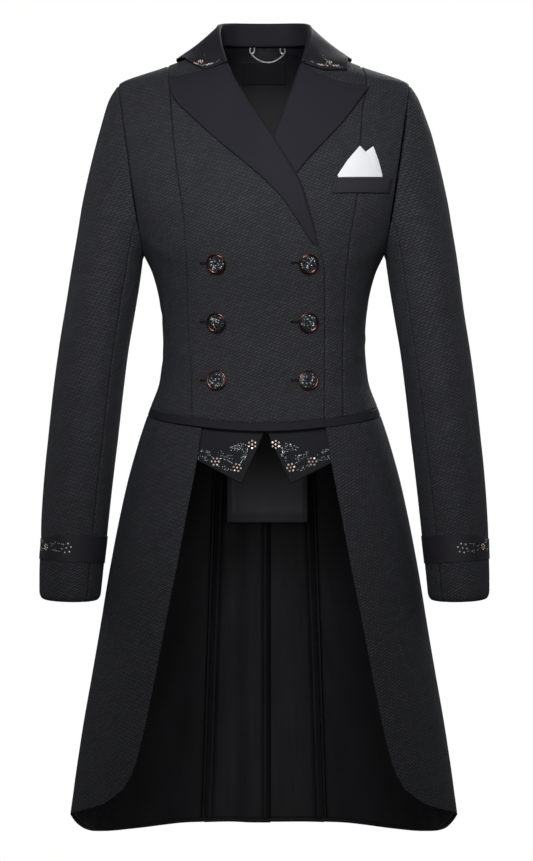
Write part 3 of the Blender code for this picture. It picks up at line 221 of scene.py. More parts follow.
WELT = (Spot(0.0889, -0.1696), Spot(0.1590, -0.1671), Spot(0.1565, -0.1852), Spot(0.0852, -0.1877))
SQUARE_BOTTOM_Z = -0.1755

NECK_LINING_X = (0.058, 0.100)  # half widths at its top and bottom
NECK_LINING_Z = (0.0095, 0.0020, -0.200)  # its top at centre back and at its ends, and its bottom
LABEL_HALF_WIDTH, LABEL_TOP, LABEL_BOTTOM = 0.029, -0.004, -0.032
LABEL_THICKNESS = 0.8 * MM
CHAIN_END_X = (-0.0175, 0.0273)
CHAIN_END_Z = 0.0050
CHAIN_START = 5.6 * MM  # the chain's ends below the middle of the horseshoes
CHAIN_SAG = 0.0150
SHOE_HALF_WIDTH, SHOE_HALF_HEIGHT, SHOE_RADIUS = 3.4 * MM, 4.2 * MM, 0.9 * MM


# ---------------------------------------------------------------- curves and the skin
def unit(vectors, least=0.0):
    """The same directions with length 1; no length is taken as less than least."""
    return vectors / np.maximum(np.linalg.norm(vectors, axis=-1, keepdims=True), least)


def travelled(line):
    """Distances along a line of points, from its start to each of them."""
    return np.concatenate([[0], np.cumsum(np.linalg.norm(np.diff(line, axis=0), axis=1))])


def turns(count):
    """Evenly spaced angles round a circle."""
    return np.arange(count) * 2 * math.pi / count


def through(knots, values, at):
    """A smooth curve through the knots that never overshoots them, read at each point of at."""
    x, y, at = np.asarray(knots, float), np.asarray(values, float), np.asarray(at, float)
    if x[0] > x[-1]:
        x, y = x[::-1], y[::-1]
    step, rise = np.diff(x), np.diff(y)
    slope = rise / step
    tangent = np.concatenate([[slope[0]], np.zeros(len(slope) - 1), [slope[-1]]])
    same_way = slope[:-1] * slope[1:] > 0
    weight_a, weight_b = 2 * step[1:] + step[:-1], step[1:] + 2 * step[:-1]
    with np.errstate(divide="ignore", invalid="ignore"):
        harmonic = (weight_a + weight_b) / (weight_a / slope[:-1] + weight_b / slope[1:])
    tangent[1:-1] = np.where(same_way, harmonic, 0.0)
    i = np.clip(np.searchsorted(x, at) - 1, 0, len(step) - 1)
    t = np.clip((at - x[i]) / step[i], 0.0, 1.0)
    return (
        y[i] * (1 + 2 * t) * (1 - t) ** 2
        + tangent[i] * step[i] * t * (1 - t) ** 2
        + y[i + 1] * t * t * (3 - 2 * t)
        + tangent[i + 1] * step[i] * t * t * (t - 1)
    )


def column(rows, name, at, key="z"):
    return through([getattr(r, key) for r in rows], [getattr(r, name) for r in rows], at)


def smoothstep(low, high, value):
    t = np.clip((np.asarray(value, float) - low) / (high - low), 0.0, 1.0)
    return t * t * (3 - 2 * t)


def bare_skin(angle, z):
    """Points of the skin itself, at these angles in radians and these heights."""
    angle, z = np.broadcast_arrays(np.asarray(angle, float), np.asarray(z, float))
    square = column(SECTIONS, "square", z)
    forward = np.cos(angle)
    depth = np.where(forward > 0, column(SECTIONS, "front", z), column(SECTIONS, "back", z))
    across = np.abs(np.sin(angle)) / column(SECTIONS, "half_width", z)
    radius = ((np.abs(forward) / depth) ** square + across**square) ** (-1 / square)
    return np.stack([radius * np.sin(angle), column(SECTIONS, "shift", z) - radius * forward, z], axis=-1)


def offset(surface, a, b, out):
    """Points of surface(a, b), moved out along its normal."""
    da, db = 2e-3, 2e-4
    along_a = surface(a + da, b) - surface(a - da, b)
    along_b = surface(a, b + db) - surface(a, b - db)
    normal = unit(np.cross(along_a, along_b), 1e-12)
    return surface(a, b) + normal * np.asarray(out, float)[..., None]


def skin(angle, z, out=0.0):
    return offset(bare_skin, np.asarray(angle, float), np.asarray(z, float), out)


def front_angle(x, z):
    """The angle of the skin's front point at this x and height."""
    half, square = column(SECTIONS, "half_width", z), column(SECTIONS, "square", z)
    share = np.clip(np.abs(x) / half, 0.0, 1.0)
    return np.arctan2(x, column(SECTIONS, "front", z) * (1 - share**square) ** (1 / square))


def back_angle(x, z):
    """The angle of the skin's back point at this x: between 90 and 270 degrees, positive x below 180."""
    half, square = column(SECTIONS, "half_width", z), column(SECTIONS, "square", z)
    share = np.clip(np.abs(x) / half, 0.0, 1.0)
    return math.pi - np.arctan2(x, column(SECTIONS, "back", z) * (1 - share**square) ** (1 / square))


def waist_z(angle):
    """Height of the waist seam, which dips at centre front and a little at centre back."""
    forward = np.cos(angle)
    at_front, at_back = np.clip(forward, 0, 1) ** 1.2, np.clip(-forward, 0, 1)
    return WAIST_SIDE_Z - WAIST_DIP[0] * at_front - WAIST_DIP[1] * at_back


def front_lift(x, z):
    """How far the right front stands off the skin, where it crosses the left one."""
    height = UNDER_LIFT + (OVER_LIFT - UNDER_LIFT) * smoothstep(*LIFT_HEIGHTS, z)
    left_edge = column(FRONT_EDGES, "left", z)
    return height * smoothstep(left_edge - LIFT_START[0], left_edge - LIFT_START[1], x)


# ---------------------------------------------------------------- patches between four edges
def coons(top, bottom, left, right):
    """A grid that fills four edges, each a list of 2-D points. Rows run from top to bottom."""
    top, bottom, left, right = (np.asarray(e, float) for e in (top, bottom, left, right))
    u = np.linspace(0, 1, len(top))[None, :, None]
    v = np.linspace(0, 1, len(left))[:, None, None]
    across = (1 - v) * top[None] + v * bottom[None]
    down = (1 - u) * left[:, None] + u * right[:, None]
    corners = (1 - u) * (1 - v) * top[0] + u * (1 - v) * top[-1]
    corners = corners + (1 - u) * v * bottom[0] + u * v * bottom[-1]
    return across + down - corners


def pairs(a, b):
    return np.stack(np.broadcast_arrays(np.asarray(a, float), np.asarray(b, float)), axis=-1)


def along(spots, count, keys=("x", "z"), crowd=1.0):
    """Count points of a smooth line through the spots, evenly spaced or crowded towards its end."""
    table = np.array([[getattr(s, k) for k in keys] for s in spots], float)
    far = travelled(table)
    at = far[-1] * (1 - (1 - np.linspace(0, 1, count)) ** crowd)
    return np.stack([through(far, table[:, k], at) for k in range(2)], axis=-1)


def bodice_rows():
    """Shares of the way from the shoulder point to the waist: fine at both ends of the armhole."""
    middle = (SHOULDER_POINT[1] + ARMPIT[1]) / 2
    half = (SHOULDER_POINT[1] - ARMPIT[1]) / 2
    armhole = middle + half * np.cos(np.linspace(0, math.pi, ARMHOLE_ROWS))
    below = np.linspace(ARMPIT[1], WAIST_SIDE_Z, WAIST_ROWS)[1:]
    z = np.concatenate([armhole, below])
    return (z[0] - z) / (z[0] - z[-1])


ARMHOLE_ROWS, WAIST_ROWS = 61, 50  # rows down to the armpit, and on to the waist
ROWS = bodice_rows()


# ---------------------------------------------------------------- seam lines
def armhole_x(z):
    share = (z - ARMPIT[1]) / (SHOULDER_POINT[1] - ARMPIT[1])
    return ARMPIT[0] + (SHOULDER_POINT[0] - ARMPIT[0]) * share


def shoulder_height(x):
    """Height of the shoulder line at this x."""
    heights = np.linspace(0.020, SHOULDER_POINT[1], 4001)
    return float(np.interp(x, column(SECTIONS, "half_width", heights), heights))


def down_to_waist(angle_at, start):
    """A line from a point on the shoulder down to the waist seam, as (angle, z) at the bodice's rows."""
    end = WAIST_SIDE_Z
    for _ in range(8):
        end = float(waist_z(angle_at(end)))
    z = start + (end - start) * ROWS
    return pairs(angle_at(z), z)


def princess(name, angle_of):
    """A princess seam from the ridge of the shoulder to the waist, as (angle, z)."""
    start = PRINCESS[0].z
    for _ in range(12):
        start = shoulder_height(float(column(PRINCESS, name, start)))
    line = down_to_waist(lambda z: angle_of(column(PRINCESS, name, z), z), start)
    line[0, 0] = math.pi / 2
    return line


def side_line(back):
    """The armhole's edge and the side seam below it, as (angle, z)."""
    waist = float(waist_z(math.pi / 2))
    z = SHOULDER_POINT[1] + (waist - SHOULDER_POINT[1]) * ROWS
    above = z > ARMPIT[1] + 1e-6
    x = armhole_x(z)
    angle = back_angle(x, z) if back else front_angle(x, z)
    return pairs(np.where(above, angle, math.pi / 2), z)


def shoulder_line(x_from, x_to, count):
    """Points on the ridge of the shoulder, as (angle, z)."""
    return [(math.pi / 2, shoulder_height(x)) for x in np.linspace(x_from, x_to, count)]


def waist_line(from_angle, to_angle, count):
    angle = np.linspace(from_angle, to_angle, count)
    return pairs(angle, waist_z(angle))


def front_edge(name):
    """The front edge from the neck to the waist, as (signed angle, z)."""
    top, end = FRONT_EDGES[0].z, WAIST_SIDE_Z
    for _ in range(8):
        end = float(waist_z(front_angle(column(FRONT_EDGES, name, end), end)))
    z = np.interp(ROWS, (0.0, ROWS[ARMHOLE_ROWS - 1], 1.0), (top, BREAK_Z, end))
    return pairs(front_angle(column(FRONT_EDGES, name, z), z), z)


def seen_flat(line):
    """A line given as (angle, z), as (x, z)."""
    return pairs(bare_skin(line[:, 0], line[:, 1])[:, 0], line[:, 1])


def neck_line(count):
    """The back neckline from the shoulder to centre back, as (x, z)."""
    x = NECK_X * np.cos(np.linspace(0, math.pi / 2, count))
    start = shoulder_height(NECK_X)
    return pairs(x, BACK_NECK_Z + (start - BACK_NECK_Z) * (x / NECK_X) ** 3)


def sideways(line):
    """Directions across a line of (x, z) points, towards greater x where the line runs down."""
    ahead = unit(np.gradient(line, axis=0))
    return np.stack([-ahead[:, 1], ahead[:, 0]], axis=-1)


def clear_of_skin(points, height):
    """Pushes points outwards to at least this height above the skin."""
    angle = np.arctan2(points[..., 0], column(SECTIONS, "shift", points[..., 2]) - points[..., 1])
    base = skin(angle, points[..., 2])
    normal = skin(angle, points[..., 2], 1.0) - base
    above = ((points - base) * normal).sum(axis=-1)
    return points + np.maximum(height - above, 0.0)[..., None] * normal


STAND_STEPS, ARC_STEPS, LEAF_STEPS = 8, 9, 24


def collar_station(row, side, ahead):
    """The middle line of the collar's wall at one station: up the stand, over the fold and down the leaf."""
    fold, middle = (np.array(p) * (side, 1, 1) for p in (row.fold, row.middle))
    seam = skin(side * math.radians(row.seam[0]), row.seam[1], 1.0 * MM) + (0, 0, 1.7 * MM)
    edge = skin(side * math.radians(row.edge[0]), row.edge[1], COLLAR_LIFT)
    ahead = ahead / np.linalg.norm(ahead)
    up = np.array((0, 0, 1.0)) - ahead[2] * ahead
    up /= np.linalg.norm(up)
    outward = (middle - fold) - ahead * np.dot(middle - fold, ahead) - up * np.dot(middle - fold, up)
    outward /= np.linalg.norm(outward)
    centre = fold - up * COLLAR_FOLD_RADIUS
    stand = centre - outward * COLLAR_FOLD_RADIUS - seam
    line = [seam + stand * share for share in np.linspace(0, 1, STAND_STEPS, endpoint=False)]
    for turn in np.radians(np.linspace(180, 0, ARC_STEPS)):
        line.append(centre + COLLAR_FOLD_RADIUS * (outward * math.cos(turn) + up * math.sin(turn)))
    start = line[-1]
    control = 2 * middle - (start + edge) / 2
    for t in np.linspace(0, 1, LEAF_STEPS + 1)[1:]:
        bent = (1 - t) ** 2 * start + 2 * t * (1 - t) * control + t * t * edge
        straight = start + (middle - start) * 2 * t if t < 0.5 else middle + (edge - middle) * (2 * t - 1)
        line.append(row.bend * bent + (1 - row.bend) * straight)
    line = np.array(line)
    line[-LEAF_STEPS:] = clear_of_skin(line[-LEAF_STEPS:], COLLAR_LIFT)
    return line


def bare_sleeve(angle, ring):
    """Points of the left sleeve: angle from its outside towards the front, ring counted from the armhole."""
    number = np.arange(len(SLEEVE), dtype=float)
    inner_x, inner_z, outer_x, outer_z, front, back, centre_y = (
        through(number, [getattr(r, name) for r in SLEEVE], ring) for name in Ring._fields
    )
    toward = (1 + np.cos(angle)) / 2
    x = inner_x + (outer_x - inner_x) * toward
    z = inner_z + (outer_z - inner_z) * toward
    forward = np.sin(angle)
    y = centre_y - forward * np.where(forward > 0, front, back)
    hole_z = ARMPIT[1] + (SHOULDER_POINT[1] - ARMPIT[1]) * toward
    hole_x = armhole_x(hole_z)
    front_y = bare_skin(front_angle(hole_x, hole_z), hole_z)[..., 1]
    back_y = bare_skin(back_angle(hole_x, hole_z), hole_z)[..., 1]
    hole_y = np.where(forward > 0, front_y, back_y)
    near = 1 - smoothstep(0.0, ARMHOLE_REACH, ring)
    return np.stack([x, y * (1 - near) + hole_y * near, z], axis=-1)


def sleeve(angle, ring, out):
    angle, ring = np.broadcast_arrays(np.asarray(angle, float), np.asarray(ring, float))
    return offset(bare_sleeve, angle, np.clip(ring, 3e-4, len(SLEEVE) - 1 - 3e-4), out)


def in_armhole_plane(step, mirror):
    """The thickness step of the sleeve's first ring, turned to lie flush with the armhole's edge."""
    normal = np.array((SHOULDER_POINT[1] - ARMPIT[1], 0.0, ARMPIT[0] - SHOULDER_POINT[0])) * mirror
    normal /= np.linalg.norm(normal)
    flush = step - (step @ normal)[..., None] * normal
    return CLOTH * flush / np.linalg.norm(flush, axis=-1, keepdims=True)


def below_band(angle):
    return waist_z(angle) - BAND_HEIGHT - 2 * SEAM_GAP


def pleat_x(z):
    return column(PLEAT, "x", z)


def back_down(x_at, rows):
    """A line on the back from the waist to the hem, as (angle, z), at the x that x_at gives."""
    start = WAIST_SIDE_Z
    for _ in range(8):
        start = float(below_band(back_angle(x_at(start), start)))
    z = start + (HEM_Z - start) * np.linspace(0, 1, rows)
    return pairs(back_angle(x_at(z), z), z)


def hem_line(angle):
    return pairs(angle, column(TAIL_HEM, "z", np.degrees(angle), key="angle"))


def tail_side_domain(back_edge_x, rows, cols):
    """The grid of a tail's side, from its cut-away front edge round to a line on the back."""
    edge_spots = along(TAIL_EDGE, rows, crowd=1.35)
    for _ in range(8):
        edge_spots[0, 1] = float(below_band(front_angle(*edge_spots[0])))
    edge = pairs(front_angle(edge_spots[:, 0], edge_spots[:, 1]), edge_spots[:, 1])
    back = back_down(back_edge_x, rows)
    share = np.linspace(0, 1, cols) ** 1.25
    angle = edge[0, 0] + (back[0, 0] - edge[0, 0]) * share
    top = pairs(angle, below_band(angle))
    return coons(top, hem_line(edge[-1, 0] + (back[-1, 0] - edge[-1, 0]) * share), edge, back)


def tail_back_domain(vent_x, rows, cols):
    """The grid of a tail's back, from the pleat to its vent edge at centre back."""
    pleat = back_down(pleat_x, rows)
    vent = back_down(lambda z: vent_x + 0.0 * np.asarray(z), rows)
    angle = np.linspace(pleat[0, 0], vent[0, 0], cols)
    top = pairs(angle, below_band(angle))
    return coons(top, hem_line(np.linspace(pleat[-1, 0], vent[-1, 0], cols)), pleat, vent)


# ---------------------------------------------------------------- creases
MEAN_RADIUS = 0.125
Crease = namedtuple("Crease", "angle z run drop width height")  # degrees, metres, and height in millimetres
BODY_CREASES = rows_of(
    Crease,
    (-72, -0.238, 0.050, -0.030, 0.011, 1.5),  # from the armpits towards the bust
    (-66, -0.270, 0.045, -0.014, 0.009, -1.1), (74, -0.240, -0.046, -0.034, 0.010, 1.4),
    (69, -0.276, -0.050, -0.010, 0.009, -1.0),
    (-97, -0.335, 0.060, -0.012, 0.008, -1.3),  # at the sides of the waist
    (-84, -0.362, 0.050, 0.010, 0.007, 1.1), (-93, -0.394, 0.055, -0.006, 0.008, -1.1),
    (86, -0.340, -0.055, -0.010, 0.008, -1.2), (97, -0.372, -0.052, 0.009, 0.007, 1.0),
    (83, -0.405, -0.045, 0.004, 0.008, -1.0),
    (-22, -0.300, 0.052, 0.016, 0.012, 0.9),  # across the double front
    (-18, -0.374, 0.060, -0.012, 0.012, 0.8), (20, -0.318, -0.040, -0.012, 0.011, -0.8),
    (-152, -0.345, -0.050, -0.010, 0.009, 2.2),  # small of the back
    (150, -0.352, 0.052, -0.006, 0.009, 2.0), (-160, -0.388, -0.040, 0.008, 0.008, -1.9),
    (158, -0.395, 0.046, 0.010, 0.008, -1.7),
    (-128, -0.120, -0.045, -0.060, 0.014, 2.0),  # from the armholes over the shoulder blades
    (127, -0.128, 0.042, -0.064, 0.014, 1.9), (-117, -0.200, -0.050, 0.030, 0.010, -1.8),
    (118, -0.205, 0.050, 0.026, 0.010, -1.7),
)
Flute = namedtuple("Flute", "angle width height")  # degrees, and height at the hem in millimetres
FLUTES = rows_of(
    Flute,
    (-66, 9, -1.6), (-84, 10, 2.6), (-104, 10, -3.2), (-123, 10, 3.6), (-141, 8, -3.0), (-166, 7, 2.2),
    (64, 9, -1.4), (82, 11, 2.4), (102, 9, -3.0), (120, 10, 3.8), (140, 9, -2.8), (165, 7, 2.4),
)
FLUTE_HEIGHTS = (-0.500, -0.960)
ARM_RADIUS, RING_LENGTH = 0.046, 0.048
SLEEVE_CREASES = rows_of(
    Crease,  # angle round the sleeve, then ring, run round it, run along it in metres
    (118, 8.2, -0.050, 0.020, 0.009, -1.8), (132, 9.0, -0.060, 0.004, 0.008, 2.0),
    (124, 9.7, -0.062, -0.014, 0.009, -2.0), (140, 10.5, -0.050, -0.020, 0.009, 1.5),
    (205, 8.8, 0.040, 0.016, 0.010, 1.3), (212, 9.9, 0.044, -0.012, 0.010, -1.3),
    (60, 6.4, 0.030, 0.050, 0.012, 1.2), (150, 6.0, -0.030, 0.060, 0.010, -1.5),
    (-40, 6.8, 0.020, 0.070, 0.013, 1.0), (95, 12.2, 0.014, 0.060, 0.010, 1.2),
    (20, 12.8, -0.016, 0.070, 0.011, -1.1), (250, 12.0, 0.016, 0.060, 0.010, 1.2),
)
SIDE_TURN = {"right": 7.0, "left": -5.0}  # degrees that the creases are turned, so that the arms differ


CREASE_FADE = 0.42  # how far a crease reaches either way from its middle, as a share of its length


def crease_lift(creases, degrees, height, per_turn, per_height):
    """The sum of the creases at these places. Each is a soft ridge or trough with shallow flanks."""
    total = np.zeros(np.broadcast(degrees, height).shape)
    for c in creases:
        around = np.radians((degrees - c.angle + 180) % 360 - 180) * per_turn
        down = (height - c.z) * per_height
        length = math.hypot(c.run, c.drop)
        share = (around * c.run + down * c.drop) / length**2
        off = (around * c.drop - down * c.run) / length / c.width
        ends = np.exp(-(((share - 0.5) / CREASE_FADE) ** 2))
        total = total + c.height * MM * ends * np.exp(-(off**2)) * (1 - 0.5 * off**2)
    return total


def relief(angle, z):
    """How far creases, and the flutes of the tails, lift the cloth of the body off its smooth form."""
    degrees = np.degrees(angle)
    total = crease_lift(BODY_CREASES, degrees, z, MEAN_RADIUS, 1.0)
    growth = smoothstep(*FLUTE_HEIGHTS, z) * MM
    for f in FLUTES:
        off = ((degrees - f.angle + 180) % 360 - 180) / f.width
        total = total + f.height * growth * np.exp(-(off**2))
    return total


# ---------------------------------------------------------------- cloth
SEAM_DIP, SEAM_REACH = 1.5 * MM, 1.4 * MM  # how deep and wide the groove at a seam is
SEAM_SHADE = 0.75  # how far painted shade darkens the cloth in a seam's groove
EDGE_SHADE_REACH = 2.6 * MM  # how far painted shade reaches in from a lining's edge at a pleat or vent
CROWD = 0.75


def shares(count):
    """Shares from 0 to 1 that crowd towards both ends."""
    even = np.linspace(0, 1, count)
    return even - CROWD * np.sin(2 * math.pi * even) / (2 * math.pi)


def regrid(grid, rows, cols):
    """The grid read at this many rows and columns, which crowd towards its edges."""
    for axis, count in ((0, rows), (1, cols)):
        at = shares(count) * (grid.shape[axis] - 1)
        low = np.minimum(at.astype(int), grid.shape[axis] - 2)
        part = (at - low).reshape([-1 if k == axis else 1 for k in range(grid.ndim)])
        grid = np.take(grid, low, axis) * (1 - part) + np.take(grid, low + 1, axis) * part
    return grid


def edge_distances(points):
    """Distances of each grid point from the four edges, along the cloth."""
    across = np.linalg.norm(np.diff(points, axis=1), axis=-1)
    down = np.linalg.norm(np.diff(points, axis=0), axis=-1)
    left = np.pad(np.cumsum(across, axis=1), ((0, 0), (1, 0)))
    top = np.pad(np.cumsum(down, axis=0), ((1, 0), (0, 0)))
    return {"left": left, "right": left[:, -1:] - left, "top": top, "bottom": top[-1:] - top}


def seam_dip(points, seams):
    """How deep the seam grooves are at each point. seams names the sewn edges."""
    far = edge_distances(points)
    return sum((SEAM_DIP * np.exp(-((far[s] / SEAM_REACH) ** 2)) for s in seams), 0.0 * far["left"])


def new_object(name, points, faces, looks, face_looks=None, smooth=True, uv=None, shade=None):
    mesh = bpy.data.meshes.new(name)
    mesh.from_pydata(np.asarray(points).tolist(), [], faces)
    for look in looks:
        mesh.materials.append(look)
    if face_looks is not None:
        mesh.polygons.foreach_set("material_index", face_looks)
    if uv is not None:
        layer = mesh.uv_layers.new(name="UVMap")
        corners = np.empty(len(mesh.loops), int)
        mesh.loops.foreach_get("vertex_index", corners)
        layer.uv.foreach_set("vector", np.asarray(uv, np.float32)[corners].ravel())
    # the seam attribute carries painted shade, which the cloth materials darken by
    if shade is not None:
        mesh.attributes.new("seam", "FLOAT", "POINT").data.foreach_set("value", shade.astype(np.float32))
    work = bmesh.new()
    work.from_mesh(mesh)
    bmesh.ops.recalc_face_normals(work, faces=work.faces)
    work.to_mesh(mesh)
    work.free()
    if smooth:
        mesh.shade_smooth()
    made = bpy.data.objects.new(name, mesh)
    bpy.context.scene.collection.objects.link(made)
    return made


def grain(angle, z):
    """Places in the weave of a grid on the skin, in metres, with the thread upright in its middle."""
    points = bare_skin(angle, z)
    level_way = unit(bare_skin(angle + 1e-3, z) - points)
    normal = skin(angle, z, 1.0) - points
    up_way = np.cross(normal, level_way)
    up_way *= np.sign(up_way[..., 2:] + 1e-9)
    middle = points.shape[1] // 2
    across, down = np.diff(points, axis=1), np.diff(points[:, middle], axis=0)
    places = []
    for way in (level_way, up_way):
        steps = (across * (way[:, 1:] + way[:, :-1]) / 2).sum(axis=-1)
        along_rows = np.pad(np.cumsum(steps, axis=1), ((0, 0), (1, 0)))
        steps = (down * (way[1:, middle] + way[:-1, middle]) / 2).sum(axis=-1)
        along_middle = np.pad(np.cumsum(steps), (1, 0))
        places.append(along_middle[:, None] + along_rows - along_rows[:, middle : middle + 1])
    return np.stack(places, axis=-1)


def shell(name, outer, inner, looks, ring=False, weave=None, shade=0.0):
    """A closed thin cloth between two grids, with rounded edges. looks are its outer and inner material."""
    rows, cols = outer.shape[:2]
    number = np.arange(rows * cols).reshape(rows, cols)
    inside = rows * cols
    after = np.roll(number, -1, axis=1) if ring else number[:, 1:]
    here = number if ring else number[:, :-1]
    quads = np.stack([here[:-1], after[:-1], after[1:], here[1:]], axis=-1).reshape(-1, 4)
    if ring:
        loops = [number[0], number[-1]]
    else:
        sides = number[0, :-1], number[:-1, -1], number[-1, :0:-1], number[:0:-1, 0]
        loops = [np.concatenate(sides)]
    flat_outer, flat_inner = outer.reshape(-1, 3), inner.reshape(-1, 3)
    far = edge_distances(outer)
    if weave is None:
        weave = np.stack([far["left"], -far["top"]], axis=-1)
    uv = weave.reshape(-1, 2)
    # shade is painted shade at each point
    shade = np.clip(shade + 0.0 * far["left"], 0.0, 1.0).ravel()
    points, uvs, shades = [flat_outer, flat_inner], [uv, uv], [shade, shade]
    faces = quads.tolist() + (quads[:, ::-1] + inside).tolist()
    looks_of_faces = [0] * len(quads) + [len(looks) - 1] * len(quads)
    start = 2 * inside
    for loop in loops:
        r, c = loop // cols, loop % cols
        inner_r = np.clip(r, 1, rows - 2)
        inner_c = c if ring else np.clip(c, 1, cols - 2)
        away = unit(flat_outer[loop] - outer[inner_r, inner_c], 1e-9)
        thick = np.linalg.norm(flat_outer[loop] - flat_inner[loop], axis=1, keepdims=True)
        points.append((flat_outer[loop] + flat_inner[loop]) / 2 + away * thick / 2)
        uvs.append(uv[loop])
        shades.append(shade[loop])
        middle = np.arange(start, start + len(loop))
        start += len(loop)
        nxt, mid_nxt = np.roll(loop, -1), np.roll(middle, -1)
        faces += np.stack([loop, nxt, mid_nxt, middle], axis=-1).tolist()
        faces += np.stack([middle, mid_nxt, nxt + inside, loop + inside], axis=-1).tolist()
        looks_of_faces += [0] * (2 * len(loop))
    return new_object(
        name, np.concatenate(points), faces, looks, face_looks=looks_of_faces, uv=np.concatenate(uvs),
        shade=np.concatenate(shades),
    )


def piece(made, nodes=()):
    """Every visible piece rides on the body, and may stand for solids."""
    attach(made, "root")
    if nodes:
        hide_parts(*nodes)
    return made


def cloth(node, outer, inner, looks, slot, held, rests_on, **more):
    """A thin cloth between two grids that stands for a solid."""
    made = piece(shell(f"cloth_{node}", outer, inner, looks, **more), [node])


def body_cloth(node, domain, out, thick, looks, size, seams, slot, rests_on, side=1, held="hung", dark=()):
    """A panel of the body as a thin cloth over a grid of (angle, z); out gives its outer face's height.

    It is grooved along its seams, with painted shade in the grooves, and painted shade along the edges named
    in dark.
    """
    domain = regrid(domain, *size)
    angle, z = domain[..., 0] * side, domain[..., 1]
    x = bare_skin(angle, z)[..., 0]
    lift = out(x, z) + relief(angle, z)
    dip = seam_dip(skin(angle, z), seams)
    outer, inner = skin(angle, z, lift - dip), skin(angle, z, lift - thick)
    far = edge_distances(outer)
    # painted shade: darker in the seams' grooves and along the edges named in dark
    shade = SEAM_SHADE * (dip / SEAM_DIP) ** 2 + sum(np.exp(-((far[s] / EDGE_SHADE_REACH) ** 2)) for s in dark)
    cloth(node, outer, inner, looks, slot, held, rests_on, weave=grain(angle, z), shade=shade)


def level(height):
    return lambda x, z: height + 0.0 * x


# ---------------------------------------------------------------- materials
def material(name, colour, rough, metallic=0.0, **settings):
    """A material with its shader; settings are names of shader sockets with _ for a space."""
    made = bpy.data.materials.new(name)
    made.use_nodes = True
    tree = made.node_tree
    shader = tree.nodes["Principled BSDF"]
    shader.inputs["Base Color"].default_value = (*colour, 1.0)
    shader.inputs["Roughness"].default_value = rough
    shader.inputs["Metallic"].default_value = metallic
    for key, value in settings.items():
        shader.inputs[key.replace("_", " ")].default_value = value
    return made, tree, shader


def add(tree, kind, **values):
    """A node with its input values or properties set; values that are sockets are linked."""
    made = tree.nodes.new(kind)
    for key, value in values.items():
        if not key.startswith("in_"):
            setattr(made, key, value)
    for key, value in values.items():
        if key.startswith("in_"):
            name = key[3:].replace("_", " ")
            socket = made.inputs[int(name)] if name.isdigit() else made.inputs[name]
            if isinstance(value, bpy.types.NodeSocket):
                tree.links.new(value, socket)
            else:
                socket.default_value = value
    return made


def cloth_uv(tree, turn=0.0, stretch=(1.0, 1.0, 1.0)):
    source = add(tree, "ShaderNodeUVMap", uv_map="UVMap")
    place = add(tree, "ShaderNodeMapping", in_Vector=source.outputs["UV"], in_Scale=stretch)
    place.inputs["Rotation"].default_value = (0.0, 0.0, math.radians(turn))
    return place.outputs["Vector"]


def mixed(tree, factor, low, high):
    """A colour between two, by a factor."""
    blend = add(tree, "ShaderNodeMix", data_type="RGBA")
    tree.links.new(factor, blend.inputs[0])
    for number, value in ((6, low), (7, high)):
        if isinstance(value, bpy.types.NodeSocket):
            tree.links.new(value, blend.inputs[number])
        else:
            blend.inputs[number].default_value = (*value, 1.0)
    return blend.outputs[2]


def noise(tree, vector, scale, detail=2.0):
    made = add(tree, "ShaderNodeTexNoise", in_Vector=vector, in_Scale=scale, in_Detail=detail)
    return made.outputs["Fac"]


def bumped(tree, shader, height, strength, distance):
    bump = add(tree, "ShaderNodeBump", in_Strength=strength, in_Distance=distance, in_Height=height)
    tree.links.new(bump.outputs["Normal"], shader.inputs["Normal"])


def coloured(tree, shader, colour):
    tree.links.new(colour, shader.inputs["Base Color"])


def roughened(tree, shader, factor, low, high):
    roughness = add(tree, "ShaderNodeMapRange", in_Value=factor, in_To_Min=low, in_To_Max=high)
    tree.links.new(roughness.outputs[0], shader.inputs["Roughness"])


def ribbed_cloth():
    """Charcoal cloth with a raised weave of small dashes in diagonal rows, with painted shade in the grooves
    of the weave and in the seams.
    """
    sheen = {"Sheen_Weight": 0.04, "Sheen_Roughness": 0.4}
    made, tree, shader = material("ribbed_cloth", (0.02, 0.02, 0.02), 0.80, **sheen)
    shader.inputs["Sheen Tint"].default_value = (0.60, 0.66, 0.80, 1.0)
    shader.inputs["Specular IOR Level"].default_value = 0.28
    rows = cloth_uv(tree, turn=-27.0)
    bricks = add(
        tree, "ShaderNodeTexBrick", offset=0.5, in_Vector=rows, in_Scale=1.0, in_Mortar_Size=0.00082,
        in_Mortar_Smooth=1.0, in_Brick_Width=0.0068, in_Row_Height=0.0032, in_Color1=(0.0, 0.0, 0.0, 1.0),
        in_Color2=(0.35, 0.35, 0.35, 1.0), in_Mortar=(1.0, 1.0, 1.0, 1.0),
    )
    plain = cloth_uv(tree)
    fibres = noise(tree, plain, 2600.0)
    patches = noise(tree, plain, 28.0, 3.0)
    raised = mixed(tree, patches, (0.0500, 0.0510, 0.0600), (0.0660, 0.0670, 0.0780))
    # painted shade: the grooves between the raised dashes are far darker
    colour = mixed(tree, bricks.outputs["Color"], raised, (0.0070, 0.0072, 0.0095))
    thread = add(tree, "ShaderNodeMapRange", in_Value=fibres, in_To_Max=0.45)
    colour = mixed(tree, thread.outputs[0], colour, (0.0150, 0.0155, 0.0180))
    # painted shade in the seams' grooves, from the mesh's seam attribute
    seam = add(tree, "ShaderNodeAttribute", attribute_name="seam")
    colour = mixed(tree, seam.outputs["Fac"], colour, (0.0030, 0.0030, 0.0040))
    coloured(tree, shader, colour)
    gaps = bricks.outputs["Fac"]
    height = add(tree, "ShaderNodeMath", operation="MULTIPLY_ADD", in_0=gaps, in_1=-1.0, in_2=fibres)
    bumped(tree, shader, height.outputs[0], 0.8, 0.00060)
    return made


